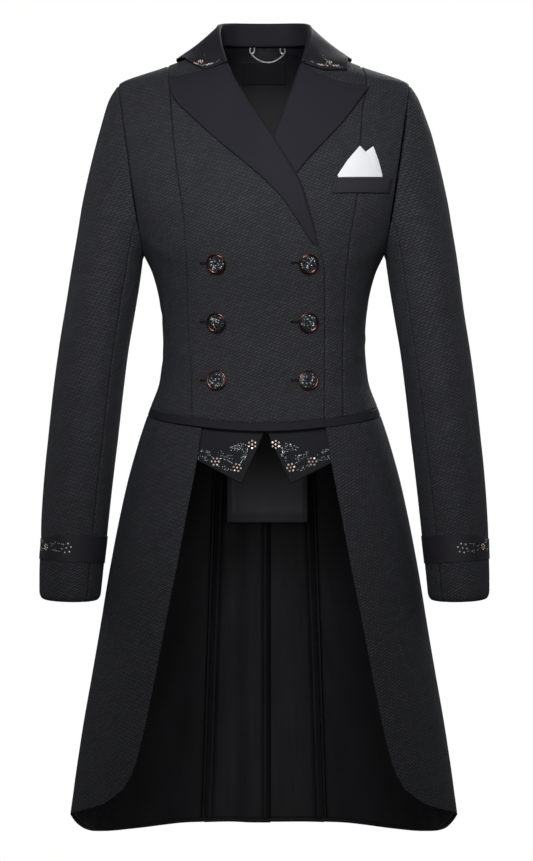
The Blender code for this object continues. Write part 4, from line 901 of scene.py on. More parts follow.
def smooth_cloth(name, low, high, rough=0.76, sheen=0.16):
    """Fine twill, as on the lapels, collar, points, band and welt."""
    made, tree, shader = material(name, high, rough, Sheen_Weight=sheen, Sheen_Roughness=0.35)
    shader.inputs["Sheen Tint"].default_value = (0.66, 0.66, 0.86, 1.0)
    shader.inputs["Specular IOR Level"].default_value = 0.12
    slanted = cloth_uv(tree, turn=-45.0)
    twill = add(tree, "ShaderNodeTexWave", in_Vector=slanted, in_Scale=420.0, in_Distortion=1.0)
    patches = noise(tree, cloth_uv(tree), 22.0, 3.0)
    fibres = noise(tree, cloth_uv(tree), 3200.0)
    colour = mixed(tree, patches, low, high)
    coloured(tree, shader, mixed(tree, fibres, colour, low))
    height = add(tree, "ShaderNodeMath", operation="ADD", in_0=twill.outputs["Fac"], in_1=fibres)
    bumped(tree, shader, height.outputs[0], 0.25, 0.00015)
    return made


def satin(name="satin", low=(0.0065, 0.0065, 0.0080), high=(0.0220, 0.0220, 0.0256), rough=0.34):
    """Black satin with faint streaks along its length, and painted shade in its seams and at its edges by
    pleats and vents.
    """
    made, tree, shader = material(name, high, rough)
    shader.inputs["Specular IOR Level"].default_value = 0.30
    streaks = noise(tree, cloth_uv(tree, stretch=(1.0, 0.05, 1.0)), 260.0, 4.0)
    clouds = noise(tree, cloth_uv(tree, stretch=(1.0, 0.35, 1.0)), 24.0, 3.0)
    # painted shade: near black where the seam attribute marks seams and the gaps at pleats and vents
    fold = add(tree, "ShaderNodeAttribute", attribute_name="seam")
    colour = mixed(tree, fold.outputs["Fac"], mixed(tree, clouds, low, high), (0.0003, 0.0003, 0.0004))
    coloured(tree, shader, colour)
    roughened(tree, shader, streaks, rough - 0.06, rough + 0.14)
    height = add(tree, "ShaderNodeMath", operation="MULTIPLY_ADD", in_0=clouds, in_1=6.0, in_2=streaks)
    bumped(tree, shader, height.outputs[0], 0.35, 0.00030)
    return made


def white_cotton():
    made, tree, shader = material("white_cotton", (0.90, 0.91, 0.94), 0.75)
    weave = noise(tree, cloth_uv(tree), 1800.0)
    clouds = noise(tree, cloth_uv(tree), 90.0)
    coloured(tree, shader, mixed(tree, clouds, (0.95, 0.96, 1.00), (0.99, 0.99, 1.00)))
    bumped(tree, shader, weave, 0.3, 0.0002)
    return made


def metal(name, colour, rough, metallic=1.0):
    made, tree, shader = material(name, colour, rough, metallic=metallic)
    source = add(tree, "ShaderNodeTexCoord")
    worn = noise(tree, source.outputs["Object"], 900.0)
    coloured(tree, shader, mixed(tree, worn, colour, tuple(c * 0.7 for c in colour)))
    roughened(tree, shader, worn, rough - 0.05, rough + 0.1)
    return made


def crystal(name, colour, rough=0.12, metallic=0.55, coat=1.0):
    """Foil-backed stones, each a little lighter or darker than the next."""
    coating = {"Coat_Weight": coat, "Coat_Roughness": 0.05}
    made, tree, shader = material(name, colour, rough, metallic=metallic, **coating)
    source = add(tree, "ShaderNodeTexCoord")
    cells = add(tree, "ShaderNodeTexVoronoi", in_Vector=source.outputs["Object"], in_Scale=420.0)
    grey = add(tree, "ShaderNodeSeparateColor", in_Color=cells.outputs["Color"])
    dark = tuple(c * 0.45 for c in colour)
    bright = tuple(min(1.0, c * 1.6) for c in colour)
    coloured(tree, shader, mixed(tree, grey.outputs[0], dark, bright))
    return made


RIBBED = ribbed_cloth()
SMOOTH = smooth_cloth("smooth_cloth", (0.0202, 0.0197, 0.0265), (0.0262, 0.0256, 0.0334), sheen=0.03)
BAND = smooth_cloth("band_cloth", (0.0225, 0.0208, 0.0262), (0.0300, 0.0278, 0.0335), rough=0.6, sheen=0.03)
# a darker copy of the twill: painted shade on the vest points
SHADED_VEST_CLOTH = smooth_cloth("shaded_vest_cloth", (0.0165, 0.0168, 0.0205), (0.0218, 0.0222, 0.0266), sheen=0.03)
WAIST_CLOTH = smooth_cloth("waist_cloth", (0.0180, 0.0180, 0.0225), (0.0260, 0.0260, 0.0320), sheen=0.03)
# a lighter copy of the twill: painted light on the pocket welt
LIT_WELT_CLOTH = smooth_cloth("lit_welt_cloth", (0.0300, 0.0292, 0.0350), (0.0380, 0.0370, 0.0440), sheen=0.03)
# a darker copy of the satin: painted shade inside the neck
SHADED_NECK_SATIN = satin("shaded_neck_satin", (0.0060, 0.0060, 0.0076), (0.0130, 0.0130, 0.0155), rough=0.5)
# a copy of the satin several times lighter: painted light on the inner tab, which lies in shade
LIT_TAB_SATIN = satin("lit_tab_satin", (0.0460, 0.0460, 0.0525), (0.0780, 0.0780, 0.0880), rough=0.42)
SATIN = satin()
WHITE = white_cotton()
LABEL = smooth_cloth("label_cloth", (0.0100, 0.0100, 0.0118), (0.0150, 0.0150, 0.0172), 0.5, 0.02)
THREAD = smooth_cloth("thread", (0.0030, 0.0030, 0.0036), (0.0060, 0.0060, 0.0070), rough=0.55, sheen=0.02)
ROSE_GOLD = metal("rose_gold", (0.21, 0.090, 0.072), 0.20)
SILVER = metal("silver", (0.86, 0.86, 0.88), 0.34, metallic=0.55)
ROSE_STONE = crystal("rose_stone", (1.00, 0.54, 0.47), metallic=0.2)
DARK_STONE = crystal("dark_stone", (0.030, 0.034, 0.040), rough=0.2, coat=0.5)
PALE_STONE = crystal("pale_stone", (0.52, 0.57, 0.60), rough=0.2, metallic=0.3)
BED = crystal("button_bed", (0.030, 0.034, 0.040), rough=0.3)
LINED = (RIBBED, SATIN)
SIDES = (("right", -1), ("left", 1))


# ---------------------------------------------------------------- bodice
BODICE_ROWS = 130
ALL_EDGES = ("left", "right", "top", "bottom")
ROLL_TRIM = 4.5 * MM  # how far the front's cut edge stays inside the lapel's fold


def make_side_panels():
    for name, side in SIDES:
        for where, seam_name, angle_of in (("front", name, front_angle), ("back", "back", back_angle)):
            seam = princess(seam_name, angle_of)
            edge = side_line(where == "back")
            top_x = abs(bare_skin(seam[0, 0], seam[0, 1])[0])
            shoulder = shoulder_line(top_x, SHOULDER_POINT[0], 41)
            domain = coons(shoulder, waist_line(seam[-1, 0], edge[-1, 0], 41), seam, edge)
            band = f"{name}_waist_band" if where == "front" else "back_waist_band"
            body_cloth(
                f"{name}_side_{where}", domain, level(0.0), CLOTH, LINED, (BODICE_ROWS, 42), ALL_EDGES,
                "outer_cloth", [band], side=side,
            )


PRESS_DEPTH, PRESS_WIDTH = 2.2 * MM, 2.6 * MM


def pressed(x, z):
    """The left front is pressed in along the edge of the right front that lies on it."""
    beyond = x - column(FRONT_EDGES, "right", z) - 1.0 * MM
    return -PRESS_DEPTH * np.exp(-((beyond / PRESS_WIDTH) ** 2)) * smoothstep(BREAK_Z + 0.015, BREAK_Z, z)


def make_fronts():
    shoulder_cols, neck_cols = 41, 8
    for name, side in SIDES:
        seam = seen_flat(princess(name, front_angle))
        edge = seen_flat(front_edge(name)) * (side, 1)
        under_lapel = smoothstep(*TRIM_ENDS[name], edge[:, 1]) * smoothstep(*TRIM_START, -edge[:, 1])
        edge[:, 0] += ROLL_TRIM * under_lapel
        shoulder = [(x, shoulder_height(x)) for x in np.linspace(seam[0, 0], NECK_X, shoulder_cols)]
        share = np.linspace(0, 1, neck_cols + 1)[1:, None]
        top = np.concatenate([shoulder, shoulder[-1] + (edge[0] - shoulder[-1]) * share])
        waist = seen_flat(waist_line(front_angle(*seam[-1]), front_angle(*edge[-1]), len(top)))
        grid = coons(top, waist, seam, edge)
        x, z = grid[..., 0] * side, grid[..., 1]
        domain = np.stack([front_angle(x, z), z], axis=-1)
        domain[0, :shoulder_cols, 0] = side * math.pi / 2
        out, cols = (front_lift, 72) if name == "right" else (pressed, 110)
        body_cloth(
            f"{name}_front", domain, out, CLOTH, LINED, (BODICE_ROWS, cols), ("left", "top", "bottom"),
            "outer_cloth", [f"cloth_{name}_side_front"],
        )


def make_backs():
    shoulder_cols, neck_cols = 25, 24
    for name, side in SIDES:
        seam = seen_flat(princess("back", back_angle))
        shoulder = [(x, shoulder_height(x)) for x in np.linspace(seam[0, 0], NECK_X, shoulder_cols)]
        top = np.concatenate([shoulder[:-1], neck_line(neck_cols + 1)])
        centre = pairs(0.0, top[-1, 1] + (float(waist_z(math.pi)) - top[-1, 1]) * ROWS)
        waist = seen_flat(waist_line(back_angle(*seam[-1]), math.pi, len(top)))
        grid = coons(top, waist, seam, centre)
        domain = np.stack([back_angle(grid[..., 0], grid[..., 1]), grid[..., 1]], axis=-1)
        domain[0, :shoulder_cols, 0] = math.pi / 2
        body_cloth(
            f"{name}_back", domain, level(0.0), CLOTH, LINED, (BODICE_ROWS, 50), ALL_EDGES,
            "outer_cloth", [f"cloth_{name}_side_back"], side=side,
        )


def make_waist_bands():
    quarter = math.pi / 2
    ends = {
        "right": (-quarter, float(front_edge("right")[-1, 0])),
        "left": (float(front_edge("left")[-1, 0]), quarter),
        "back": (quarter, 3 * quarter),
    }
    for name, (start, end) in ends.items():
        angle = np.linspace(start, end, 181)
        top = pairs(angle, waist_z(angle))
        lift = front_lift if name == "right" else level(0.0)
        rests = [f"cloth_{name}_front"] if name != "back" else ["cloth_right_back", "cloth_left_back"]
        body_cloth(
            f"{name}_waist_band", np.stack([top, top - (0.0, BAND_HEIGHT)]), lift, CLOTH,
            (WAIST_CLOTH, SATIN), (12, 150), (), "smooth_cloth", rests, held="laid",
        )


# ---------------------------------------------------------------- lapels and collar
FOLD_DEPTH = 3.4 * MM  # from the roll line to where the fold passes into the lapel and the facing
FACING_WIDTH = 14.0 * MM  # how far the facing runs back inside the front
EDGE_SPRING = 1.3 * MM  # how far the lapel's free edge springs off the front


def both_faces(middle, thick):
    """The two faces of a cloth whose middle surface this is."""
    normal = unit(np.cross(np.gradient(middle, axis=1), np.gradient(middle, axis=0)), 1e-12)
    return middle + normal * thick / 2, middle - normal * thick / 2


def make_lapel(name, side, outer, notch):
    """The facing turned back on the front: its leaf, the rolled fold, and its start inside the front."""
    rows, flat_cols, arc_cols, back_cols = 90, 46, 15, 6
    roll_z = LAPEL_TOP + (LAPEL_ENDS[name] - LAPEL_TOP) * shares(rows)
    roll = pairs(column(FRONT_EDGES, name, roll_z), roll_z)
    beyond = sideways(roll)
    beside = roll + side * (FOLD_DEPTH + CLOTH / 2) * beyond
    edge = along(outer, 400)
    edge = np.stack([np.interp(shares(rows), np.linspace(0, 1, 400), edge[:, k]) for k in range(2)], axis=-1)
    top = along((outer[0], Spot(notch.x, notch.z - 0.2 * GORGE_GAP), Spot(*beside[0])), flat_cols)
    bottom = along((outer[-1], Spot(*beside[-1])), flat_cols)
    flat = coons(top, bottom, edge, beside)
    stand = ROLL_HEIGHT * smoothstep(*ROLL_SPAN[name], roll_z)[:, None]
    taper = 0.25 + 0.75 * smoothstep(roll_z[-1], roll_z[-1] + 0.03, roll_z)[:, None]
    share = np.linspace(0, 1, flat_cols)[None]
    leaf_height = LAPEL_GAP + CLOTH / 2 + stand * share**3 + EDGE_SPRING * taper * (1 - share) ** 8
    turn = np.linspace(math.pi / 2, 3 * math.pi / 2, arc_cols)[None, 1:]
    high, low = leaf_height[:, -1:], -CLOTH - LINING
    distance = FOLD_DEPTH * (1 + taper * np.cos(turn)) + CLOTH / 2
    fold_height = (high + low) / 2 + (high - low) / 2 * np.sin(turn)
    back = np.linspace(0, 1, back_cols + 1)[None, 1:]
    distance = np.concatenate([distance, distance[:, -1:] + FACING_WIDTH * back], axis=1)
    height = np.concatenate([leaf_height, fold_height, low - 0.6 * MM * back + 0 * stand], axis=1)
    folded = roll[:, None] + side * distance[..., None] * beyond[:, None]
    grid = np.concatenate([flat, folded], axis=1)
    x, z = grid[..., 0], grid[..., 1]
    angle = front_angle(x, z)
    lift = front_lift(x, z) if name == "right" else 0.0
    outer_face, inner_face = both_faces(skin(angle, z, height + lift + relief(angle, z)), CLOTH)
    if (outer_face[0, 0] - inner_face[0, 0])[1] > 0:
        outer_face, inner_face = inner_face, outer_face
    looks, rests = (SMOOTH, SMOOTH), [f"cloth_{name}_front"]
    cloth(f"{name}_lapel", outer_face, inner_face, looks, "smooth_cloth", "folded", rests)


COLLAR_TIPS = ((0, 0.0), (0, 0.0), (0, 0.0), (0, 0.0), (3, 0.0), (7, 0.0010), (12, 0.0045), (14, 0.0095))


def make_collar():
    """The collar as one cloth, and its outer face for what is sewn on it."""
    rows = [(row, -1) for row in reversed(COLLAR[1:])] + [(row, 1) for row in COLLAR]
    ahead = np.gradient(np.array([np.array(row.fold) * (side, 1, 1) for row, side in rows]), axis=0)
    rows = [
        (row._replace(edge=(row.edge[0] - turned, row.edge[1] - (drop if side > 0 else 0.0))), side)
        for (row, side), (turned, drop) in zip(rows, COLLAR_TIPS[::-1] + COLLAR_TIPS[1:])
    ]
    stations = np.stack([collar_station(row, side, ahead[k]) for k, (row, side) in enumerate(rows)])
    at = np.arange(len(stations), dtype=float)
    fine = shares(150) * (len(stations) - 1)
    flat = stations.reshape(len(stations), -1)
    lines = np.stack([through(at, flat[:, k], fine) for k in range(flat.shape[1])], axis=-1)
    outer, inner = both_faces(lines.reshape(len(fine), -1, 3), CLOTH)
    if outer[75, -5, 1] < inner[75, -5, 1]:
        outer, inner = inner, outer
    rests = ["cloth_right_back", "cloth_left_back"]
    cloth("collar", outer, inner, (SMOOTH, SMOOTH), "smooth_cloth", "folded", rests)
    return outer


# ---------------------------------------------------------------- sleeves
CUFF_ROUND = 7.0 * MM  # how far the cuff's hem is drawn in at its very end
CUFF_ROUND_START = 14.78  # ring where that starts
BAND_GAP, BAND_CLOTH = 0.2 * MM, 0.7 * MM
BAND_DROP = 0.28  # rings by which the band's top edge is lower on the outside of the arm


def sleeve_out(angle, ring, name):
    degrees = np.degrees(angle) + SIDE_TURN[name]
    end = np.clip((ring - CUFF_ROUND_START) / (len(SLEEVE) - 1 - CUFF_ROUND_START), 0, 1)
    drawn_in = CUFF_ROUND * (1 - np.sqrt(1 - end**2 * 0.999))
    return crease_lift(SLEEVE_CREASES, degrees, ring, ARM_RADIUS, RING_LENGTH) - drawn_in


SLEEVE_AXIS = ((-0.05, 0.176, 0.002), (-0.30, 0.206, 0.000), (-0.50, 0.236, -0.014), (-0.70, 0.254, -0.040))
WEAVE_RADIUS = 0.050


def sleeve_grain(points, side):
    """Places in a sleeve's weave, in metres: round the arm's axis, and up it."""
    heights, middle_x, middle_y = np.array(SLEEVE_AXIS).T
    x = points[..., 0] * side - through(heights, middle_x, points[..., 2])
    y = points[..., 1] - through(heights, middle_y, points[..., 2])
    turn = np.arctan2(x, -y) % (2 * math.pi)
    turn = np.where(turn > 1.5 * math.pi, turn - 2 * math.pi, turn)
    return np.stack([side * WEAVE_RADIUS * turn, points[..., 2]], axis=-1)


HANG = ((-0.20, 0.0), (-0.39, 5.4 * MM), (-0.50, 7.6 * MM), (-0.63, 8.2 * MM), (-0.71, 6.6 * MM))


def hung(points, side):
    """The arms hang a little closer to the body than their solids do."""
    heights, moves = np.array(HANG).T
    closer = np.interp(-points[..., 2], -heights, moves) * (1.0 if side < 0 else 0.85)
    outside = smoothstep(0.15, 0.19, side * points[..., 0]) * smoothstep(-0.06, -0.11, points[..., 2])
    wider = 3.0 * MM * outside * smoothstep(-0.36, -0.24, points[..., 2]) if side > 0 else 0.0
    return points + np.stack([side * (wider - closer), 0 * closer, 0 * closer], axis=-1)


def make_sleeves():
    spans = {
        "top_sleeve": (SLEEVE_BACK_SEAM - 360, SLEEVE_FRONT_SEAM, 70),
        "under_sleeve": (SLEEVE_FRONT_SEAM, SLEEVE_BACK_SEAM, 40),
    }
    ring = (shares(150) * (len(SLEEVE) - 1))[:, None]
    for name, side in SIDES:
        mirror = np.array((side, 1.0, 1.0))
        for part, (start, end, cols) in spans.items():
            angle = np.radians(start + (end - start) * shares(cols))[None, :]
            lift = sleeve_out(angle, ring, name)
            dip = seam_dip(sleeve(angle, ring, 0.0), ("left", "right", "top"))
            outer = hung(sleeve(angle, ring, lift - dip) * mirror, side)
            inner = hung(sleeve(angle, ring, lift - CLOTH) * mirror, side)
            inner[0] = outer[0] + in_armhole_plane(inner[0] - outer[0], mirror)
            node = f"{name}_{part}"
            weave = sleeve_grain(sleeve(angle, ring, 0.0) * mirror, side)
            # painted shade in the seams' grooves
            shade = SEAM_SHADE * (dip / SEAM_DIP) ** 2
            rests = [f"cloth_{name}_side_front", f"cloth_{name}_side_back"]
            cloth(node, outer, inner, LINED, "outer_cloth", "hung", rests, weave=weave, shade=shade)
        angle = math.pi + np.linspace(0, 2 * math.pi, 121)[None, :-1]
        share = shares(16)[:, None]
        top_ring = CUFF_BAND[0] + BAND_DROP * np.clip(np.cos(angle), 0, 1) ** 2
        band_ring = top_ring + (CUFF_BAND[1] - top_ring) * share
        lift = sleeve_out(angle, band_ring, name) + BAND_GAP
        outer = hung(sleeve(angle, band_ring, lift + BAND_CLOTH) * mirror, side)
        inner = hung(sleeve(angle, band_ring, lift) * mirror, side)
        rests = [f"cloth_{name}_top_sleeve", f"cloth_{name}_under_sleeve"]
        cloth(f"{name}_cuff_band", outer, inner, (BAND, BAND), "smooth_cloth", "laid", rests, ring=True)


# ---------------------------------------------------------------- tails
PUCKER_PITCH, PUCKER_HEIGHT = 0.0135, 4.0 * MM
SIDE_LINING_SHARE, BACK_LINING_SHARE = 0.992, 0.994  # how far down its tail each lining reaches
ROLL_BESIDE, ROLL_BREADTH, ROLL_RISE = 6.5 * MM, 3.6 * MM, 3.4 * MM  # rolls of lining by pleat and vent


def roll(distance):
    """How far the lining stands in towards the wearer at this distance from a pleat or a vent edge."""
    return ROLL_RISE * np.exp(-(((distance - ROLL_BESIDE) / ROLL_BREADTH) ** 2))


def make_tails():
    rows = 91
    back_out = -CLOTH - LAYER_GAP
    for name, side in SIDES:
        inside = tail_side_domain(lambda z: pleat_x(z) + PLEAT_OPENING, rows, 61)
        steps = 8
        underlap = [
            back_down(lambda z, k=k: pleat_x(z) + PLEAT_OPENING - k * PLEAT_UNDERLAP / steps, rows)[:, None]
            for k in range(1, steps + 1)
        ]
        tail = f"{name}_tail_side"
        whole = np.concatenate([inside, *underlap], axis=1)
        rests = [f"cloth_{name}_waist_band", "cloth_back_waist_band"]
        body_cloth(
            tail, whole, level(0.0), CLOTH, LINED, (110, 84), ("top",), "outer_cloth", rests, side=side
        )

        def puckered(x, z):
            near_hem = smoothstep(-0.945, -0.980, z) * np.exp(-(((np.abs(x) - 0.212) / 0.024) ** 2))
            ridge = np.abs(np.cos(math.pi * (np.abs(x) + 0.35 * z) / PUCKER_PITCH)) ** 3
            return -CLOTH - LAYER_GAP - PUCKER_HEIGHT * near_hem * ridge

        lining = inside[: int(rows * SIDE_LINING_SHARE), 2:]
        # painted shade along its edge at the pleat's gap
        body_cloth(
            f"{tail}_lining", lining, puckered, LINING, (SATIN, SATIN), (104, 90), ("top",),
            "satin_lining", [f"cloth_{tail}"], side=side, dark=("right",),
        )
        vent_x = -RIGHT_VENT_X if name == "right" else LEFT_VENT_X
        domain = tail_back_domain(vent_x, rows, 31)
        drop = (CLOTH + LINING + 2 * LAYER_GAP) if name == "right" else 0.0

        def under(x, z, side=side, drop=drop, out=back_out):
            return out - drop * smoothstep(*VENT_STEP, x * side)

        tail = f"{name}_tail_back"
        body_cloth(
            tail, domain, under, CLOTH, LINED, (110, 50), ("top",), "outer_cloth", rests[1:], side=side
        )

        def lined(x, z, side=side, vent_x=vent_x, under=under):
            rolls = roll(pleat_x(z) - x * side) + roll(x * side - vent_x)
            return under(x, z) - CLOTH - LAYER_GAP - rolls

        # painted shade along both edges, at the pleat's gap and at the vent
        body_cloth(
            f"{tail}_lining", domain[: int(rows * BACK_LINING_SHARE)], lined, LINING, (SATIN, SATIN),
            (104, 90), ("top",), "satin_lining", [f"cloth_{tail}"], side=side, dark=("left", "right"),
        )


def make_vest_points():
    for name, side in SIDES:
        inner_top, tip, outer_bottom, outer_top = VEST_POINTS[name]
        count = 41
        grid = coons(
            along((inner_top, outer_top), count),
            along((tip, outer_bottom), count),
            along((inner_top, tip), count),
            along((outer_top, outer_bottom), count),
        )
        angle = front_angle(grid[..., 0], grid[..., 1])
        z = grid[..., 1].copy()
        top_z = waist_z(angle[0]) - VEST_TUCK
        z = z + (top_z - z[0])[None] * np.linspace(1, 0, count)[:, None] ** 4
        out = -CLOTH - LINING - VEST_GAP
        body_cloth(
            f"{name}_vest_point", np.stack([angle, z], axis=-1), level(out), CLOTH, (SHADED_VEST_CLOTH, SATIN),
            (50, 50), (), "smooth_cloth", [f"cloth_{name}_waist_band"],
        )


TAB_ROLL = 3.2 * MM  # how far the tab's free edges roll back


def make_inner_tab():
    rows, cols = 50, 60
    across = np.linspace(-1, 1, cols)
    x = across * INNER_TAB_HALF_WIDTH + INNER_TAB_X
    down = np.linspace(INNER_TAB[0].z, INNER_TAB[-1].z, rows)
    waist = np.full(cols, WAIST_SIDE_Z)
    curve = bare_skin(back_angle(x, waist), waist)[:, 1] - bare_skin(math.pi, WAIST_SIDE_Z)[1]
    follows = through([d.z for d in INNER_TAB], TAB_FOLLOWS, down)[:, None]
    y = column(INNER_TAB, "y", down)[:, None] + curve * follows + TAB_BOW * (1 - across**2) * (1 - follows)
    free = smoothstep(-0.47, -0.58, down)[:, None]
    y = y + 0.9 * MM * free * (np.cos(4.1 * across + 0.6) + 0.3 * np.cos(9.0 * across))
    at_sides = smoothstep(0.80, 1.0, np.abs(across)) ** 2
    at_foot = smoothstep(0.90, 1.0, np.linspace(0, 1, rows))[:, None] ** 2
    y = y + TAB_ROLL * free * (at_sides + at_foot)
    middle = np.stack(np.broadcast_arrays(x[None], y, down[:, None]), axis=-1)
    outer, inner = both_faces(middle, LINING)
    rests = ["cloth_back_waist_band"]
    cloth("inner_tab", outer, inner, (LIT_TAB_SATIN, LIT_TAB_SATIN), "satin_lining", "hung", rests)


# ---------------------------------------------------------------- pocket
POCKET_FOLDS = (  # outline of each folded layer's top, front layer first, with its heights above the front
    (
        ((0.0920, -0.1655), (0.1040, -0.1470), (0.1201, -0.1278), (0.1273, -0.1356), (0.1370, -0.1480),
         (0.1445, -0.1645)),
        1.5 * MM,
    ),
    (
        ((0.1120, -0.1600), (0.1190, -0.1460), (0.1275, -0.1352), (0.1372, -0.1277), (0.1436, -0.1450),
         (0.1486, -0.1640)),
        0.7 * MM,
    ),
)
FOLD_CLOTH = 0.5 * MM
WELT_OPEN = 2.3 * MM  # how far the welt's top edge stands off in the middle
WELT_STITCH_INSET = 2.2 * MM
PUFF = 1.9 * MM
SQUARE_INSET = 2.0 * MM  # how far each layer narrows at either side of its foot


def make_pocket():
    """The breast pocket's welt, and the white square that stays folded in it."""
    top_left, top_right, bottom_right, bottom_left = WELT
    rows, cols = 22, 100
    grid = coons(
        along((top_left, top_right), cols),
        along((bottom_left, bottom_right), cols),
        along((top_left, bottom_left), rows),
        along((top_right, bottom_right), rows),
    )
    angle, z = front_angle(grid[..., 0], grid[..., 1]), grid[..., 1]
    share = np.linspace(0, 1, cols)[None]
    ends = smoothstep(0.0, 0.06, share) * smoothstep(1.0, 0.94, share)  # its ends are sewn down
    open_top = LAYER_GAP + (WELT_OPEN - LAYER_GAP) * np.linspace(1, 0, rows)[:, None] * (0.35 + 0.65 * ends)
    under = open_top + relief(angle, z)
    outer, inner = skin(angle, z, under + CLOTH), skin(angle, z, under)
    rests = ["cloth_left_front", "cloth_left_side_front"]
    cloth("pocket_welt", outer, inner, (LIT_WELT_CLOTH, LIT_WELT_CLOTH), "smooth_cloth", "laid", rests)
    lean, drop = WELT[3].x - WELT[0].x, WELT[3].z - WELT[0].z
    for where, x in (("inner", WELT[0].x + WELT_STITCH_INSET), ("outer", WELT[1].x - WELT_STITCH_INSET)):
        line = [Spot(x + lean * t, WELT[0].z + drop * t) for t in (0.06, 0.94)]
        sew(f"welt_stitches_{where}", along(line, 60), LAYER_GAP + CLOTH + 1.2 * MM, 12)
    rows, cols = 40, 60
    for label, (outline, height) in zip(("front", "rear"), POCKET_FOLDS):
        corner, even = np.linspace(0, 1, len(outline)), np.linspace(0, 1, cols)
        top = np.stack([np.interp(even, corner, column) for column in zip(*outline)], axis=-1)
        ends = outline[0][0] + SQUARE_INSET, outline[-1][0] - SQUARE_INSET
        foot = pairs(np.linspace(*ends, cols), SQUARE_BOTTOM_Z)
        share = np.linspace(0, 1, rows)[:, None, None]
        grid = top[None] * (1 - share) + foot[None] * share
        angle, z = front_angle(grid[..., 0], grid[..., 1]), grid[..., 1]
        across = np.linspace(-1, 1, cols)[None]
        free = smoothstep(-0.171, -0.150, z)
        puff = PUFF * free * (1 - across**2) * np.sqrt(share[..., 0])
        fold = 0.3 * MM * np.exp(-(((across - 0.28 - 0.3 * share[..., 0]) / 0.10) ** 2)) * (0.3 + 0.7 * free)
        under = height + puff + fold + relief(angle, z)
        outer, inner = skin(angle, z, under + FOLD_CLOTH), skin(angle, z, under)
        made = shell(f"pocket_square_{label}", outer, inner, (WHITE, WHITE))
        piece(made, ["pocket_square"])


# ---------------------------------------------------------------- thread, stones and buttons
def on_front(x, z, out, name="left"):
    """Points above the front, with the directions outwards, to the wearer's left and up."""
    x, z = np.broadcast_arrays(np.asarray(x, float), np.asarray(z, float))
    angle = front_angle(x, z)
    lift = relief(angle, z) + out + (front_lift(x, z) if name == "right" else 0.0)
    place = skin(angle, z, lift)
    normal = unit(skin(angle, z, lift + 1.0 * MM) - place)
    side = unit(np.cross(normal, (0.0, 0.0, 1.0)))
    return place, normal, -side, np.cross(normal, -side)


def bands(rings, sides, closed=False):
    """Faces between rings of points; closed joins the last ring to the first."""
    faces = []
    for r in range(rings if closed else rings - 1):
        here, below = r * sides, (r + 1) % rings * sides
        for k in range(sides):
            after = (k + 1) % sides
            faces.append([here + k, here + after, below + after, below + k])
    return faces


def bead(length, radius, sides=6):
    """A thread stitch as points and faces: a short round rod that sinks into the cloth at both ends."""
    rings = ((-0.5, 0.25, -1.0), (-0.3, 0.9, 0.0), (0.0, 1.0, 0.3), (0.3, 0.9, 0.0), (0.5, 0.25, -1.0))
    points = []
    for far, wide, high in rings:
        for k in range(sides):
            turn = 2 * math.pi * k / sides
            across, up = wide * math.cos(turn), high + wide * math.sin(turn)
            points.append((far * length, radius * across, radius * up))
    ends = [list(range(sides)), list(range(len(points) - sides, len(points)))]
    return np.array(points), bands(len(rings), sides) + ends


def scatter(name, shape, places, forward, outward, sizes, look, smooth=True):
    """One mesh of many copies of a small shape, each turned to its own directions."""
    points, faces = shape
    forward = unit(np.asarray(forward))
    outward = unit(outward - (outward * forward).sum(axis=-1, keepdims=True) * forward)
    across = np.cross(outward, forward)
    frames = np.stack([forward, across, outward], axis=1)
    sizes = np.broadcast_to(np.asarray(sizes, float), (len(places),))
    every = places[:, None] + np.einsum("pk,nkx->npx", points, frames) * sizes[:, None, None]
    shifted = [[i + n * len(points) for i in face] for n in range(len(places)) for face in faces]
    uv = every.reshape(-1, 3)[:, [0, 2]]
    return piece(new_object(name, every.reshape(-1, 3), shifted, [look], smooth=smooth, uv=uv))


STITCH = (2.6 * MM, 0.22 * MM)  # length and radius


def sew(name, line, out, count):
    """A row of stitches along a line of (x, z) points on the left front."""
    far = travelled(line)
    at = (np.arange(count) + 0.5) / count * far[-1]
    x, z = (np.interp(at, far, line[:, k]) for k in range(2))
    place, normal, _, _ = on_front(x, z, out)
    ahead = np.gradient(place, axis=0)
    scatter(name, bead(*STITCH), place, ahead, normal, 1.0, THREAD)


def cut_stone(sides=8):
    """A stone of unit radius: a flat table, two rows of facets round it, and a foot in the cloth."""
    points = []
    rings = ((0.52, 0.62, 0.0), (0.86, 0.36, 0.5), (1.0, 0.12, 0.0), (0.9, -0.35, 0.0))
    for radius, height, shift in rings:
        for k in range(sides):
            turn = 2 * math.pi * (k + shift) / sides
            points.append((radius * math.cos(turn), radius * math.sin(turn), height))
    faces = [list(range(sides))]
    for k in range(sides):
        after = (k + 1) % sides
        a, b, c, d = (ring * sides + k for ring in range(4))
        next_a, next_b, next_c, next_d = (ring * sides + after for ring in range(4))
        faces += [[a, next_a, b], [next_a, next_b, b], [b, next_b, next_c], [b, next_c, c]]
        faces.append([c, next_c, next_d, d])
    faces.append([3 * sides + k for k in reversed(range(sides))])
    return np.array(points), faces


STONE = cut_stone()
PETAL_RADIUS = 4.6 * MM  # from a rosette's middle to its petals
PETAL_STONE, LEAF_STONE = 1.45 * MM, 0.62 * MM  # radii of the vest points' stones
STEM_STEP, LEAF_STEP = 1.55 * MM, 1.5 * MM  # between the stones of a stem, and of a leaf


def rosette(at, turn=0.0, size=1.0):
    """Six petals round a middle stone, as (x, z) places."""
    angle = np.radians(turn) + np.arange(6) * math.pi / 3
    ring = np.array(at) + PETAL_RADIUS * size * np.stack([np.cos(angle), np.sin(angle)], axis=-1)
    return np.concatenate([[at], ring])


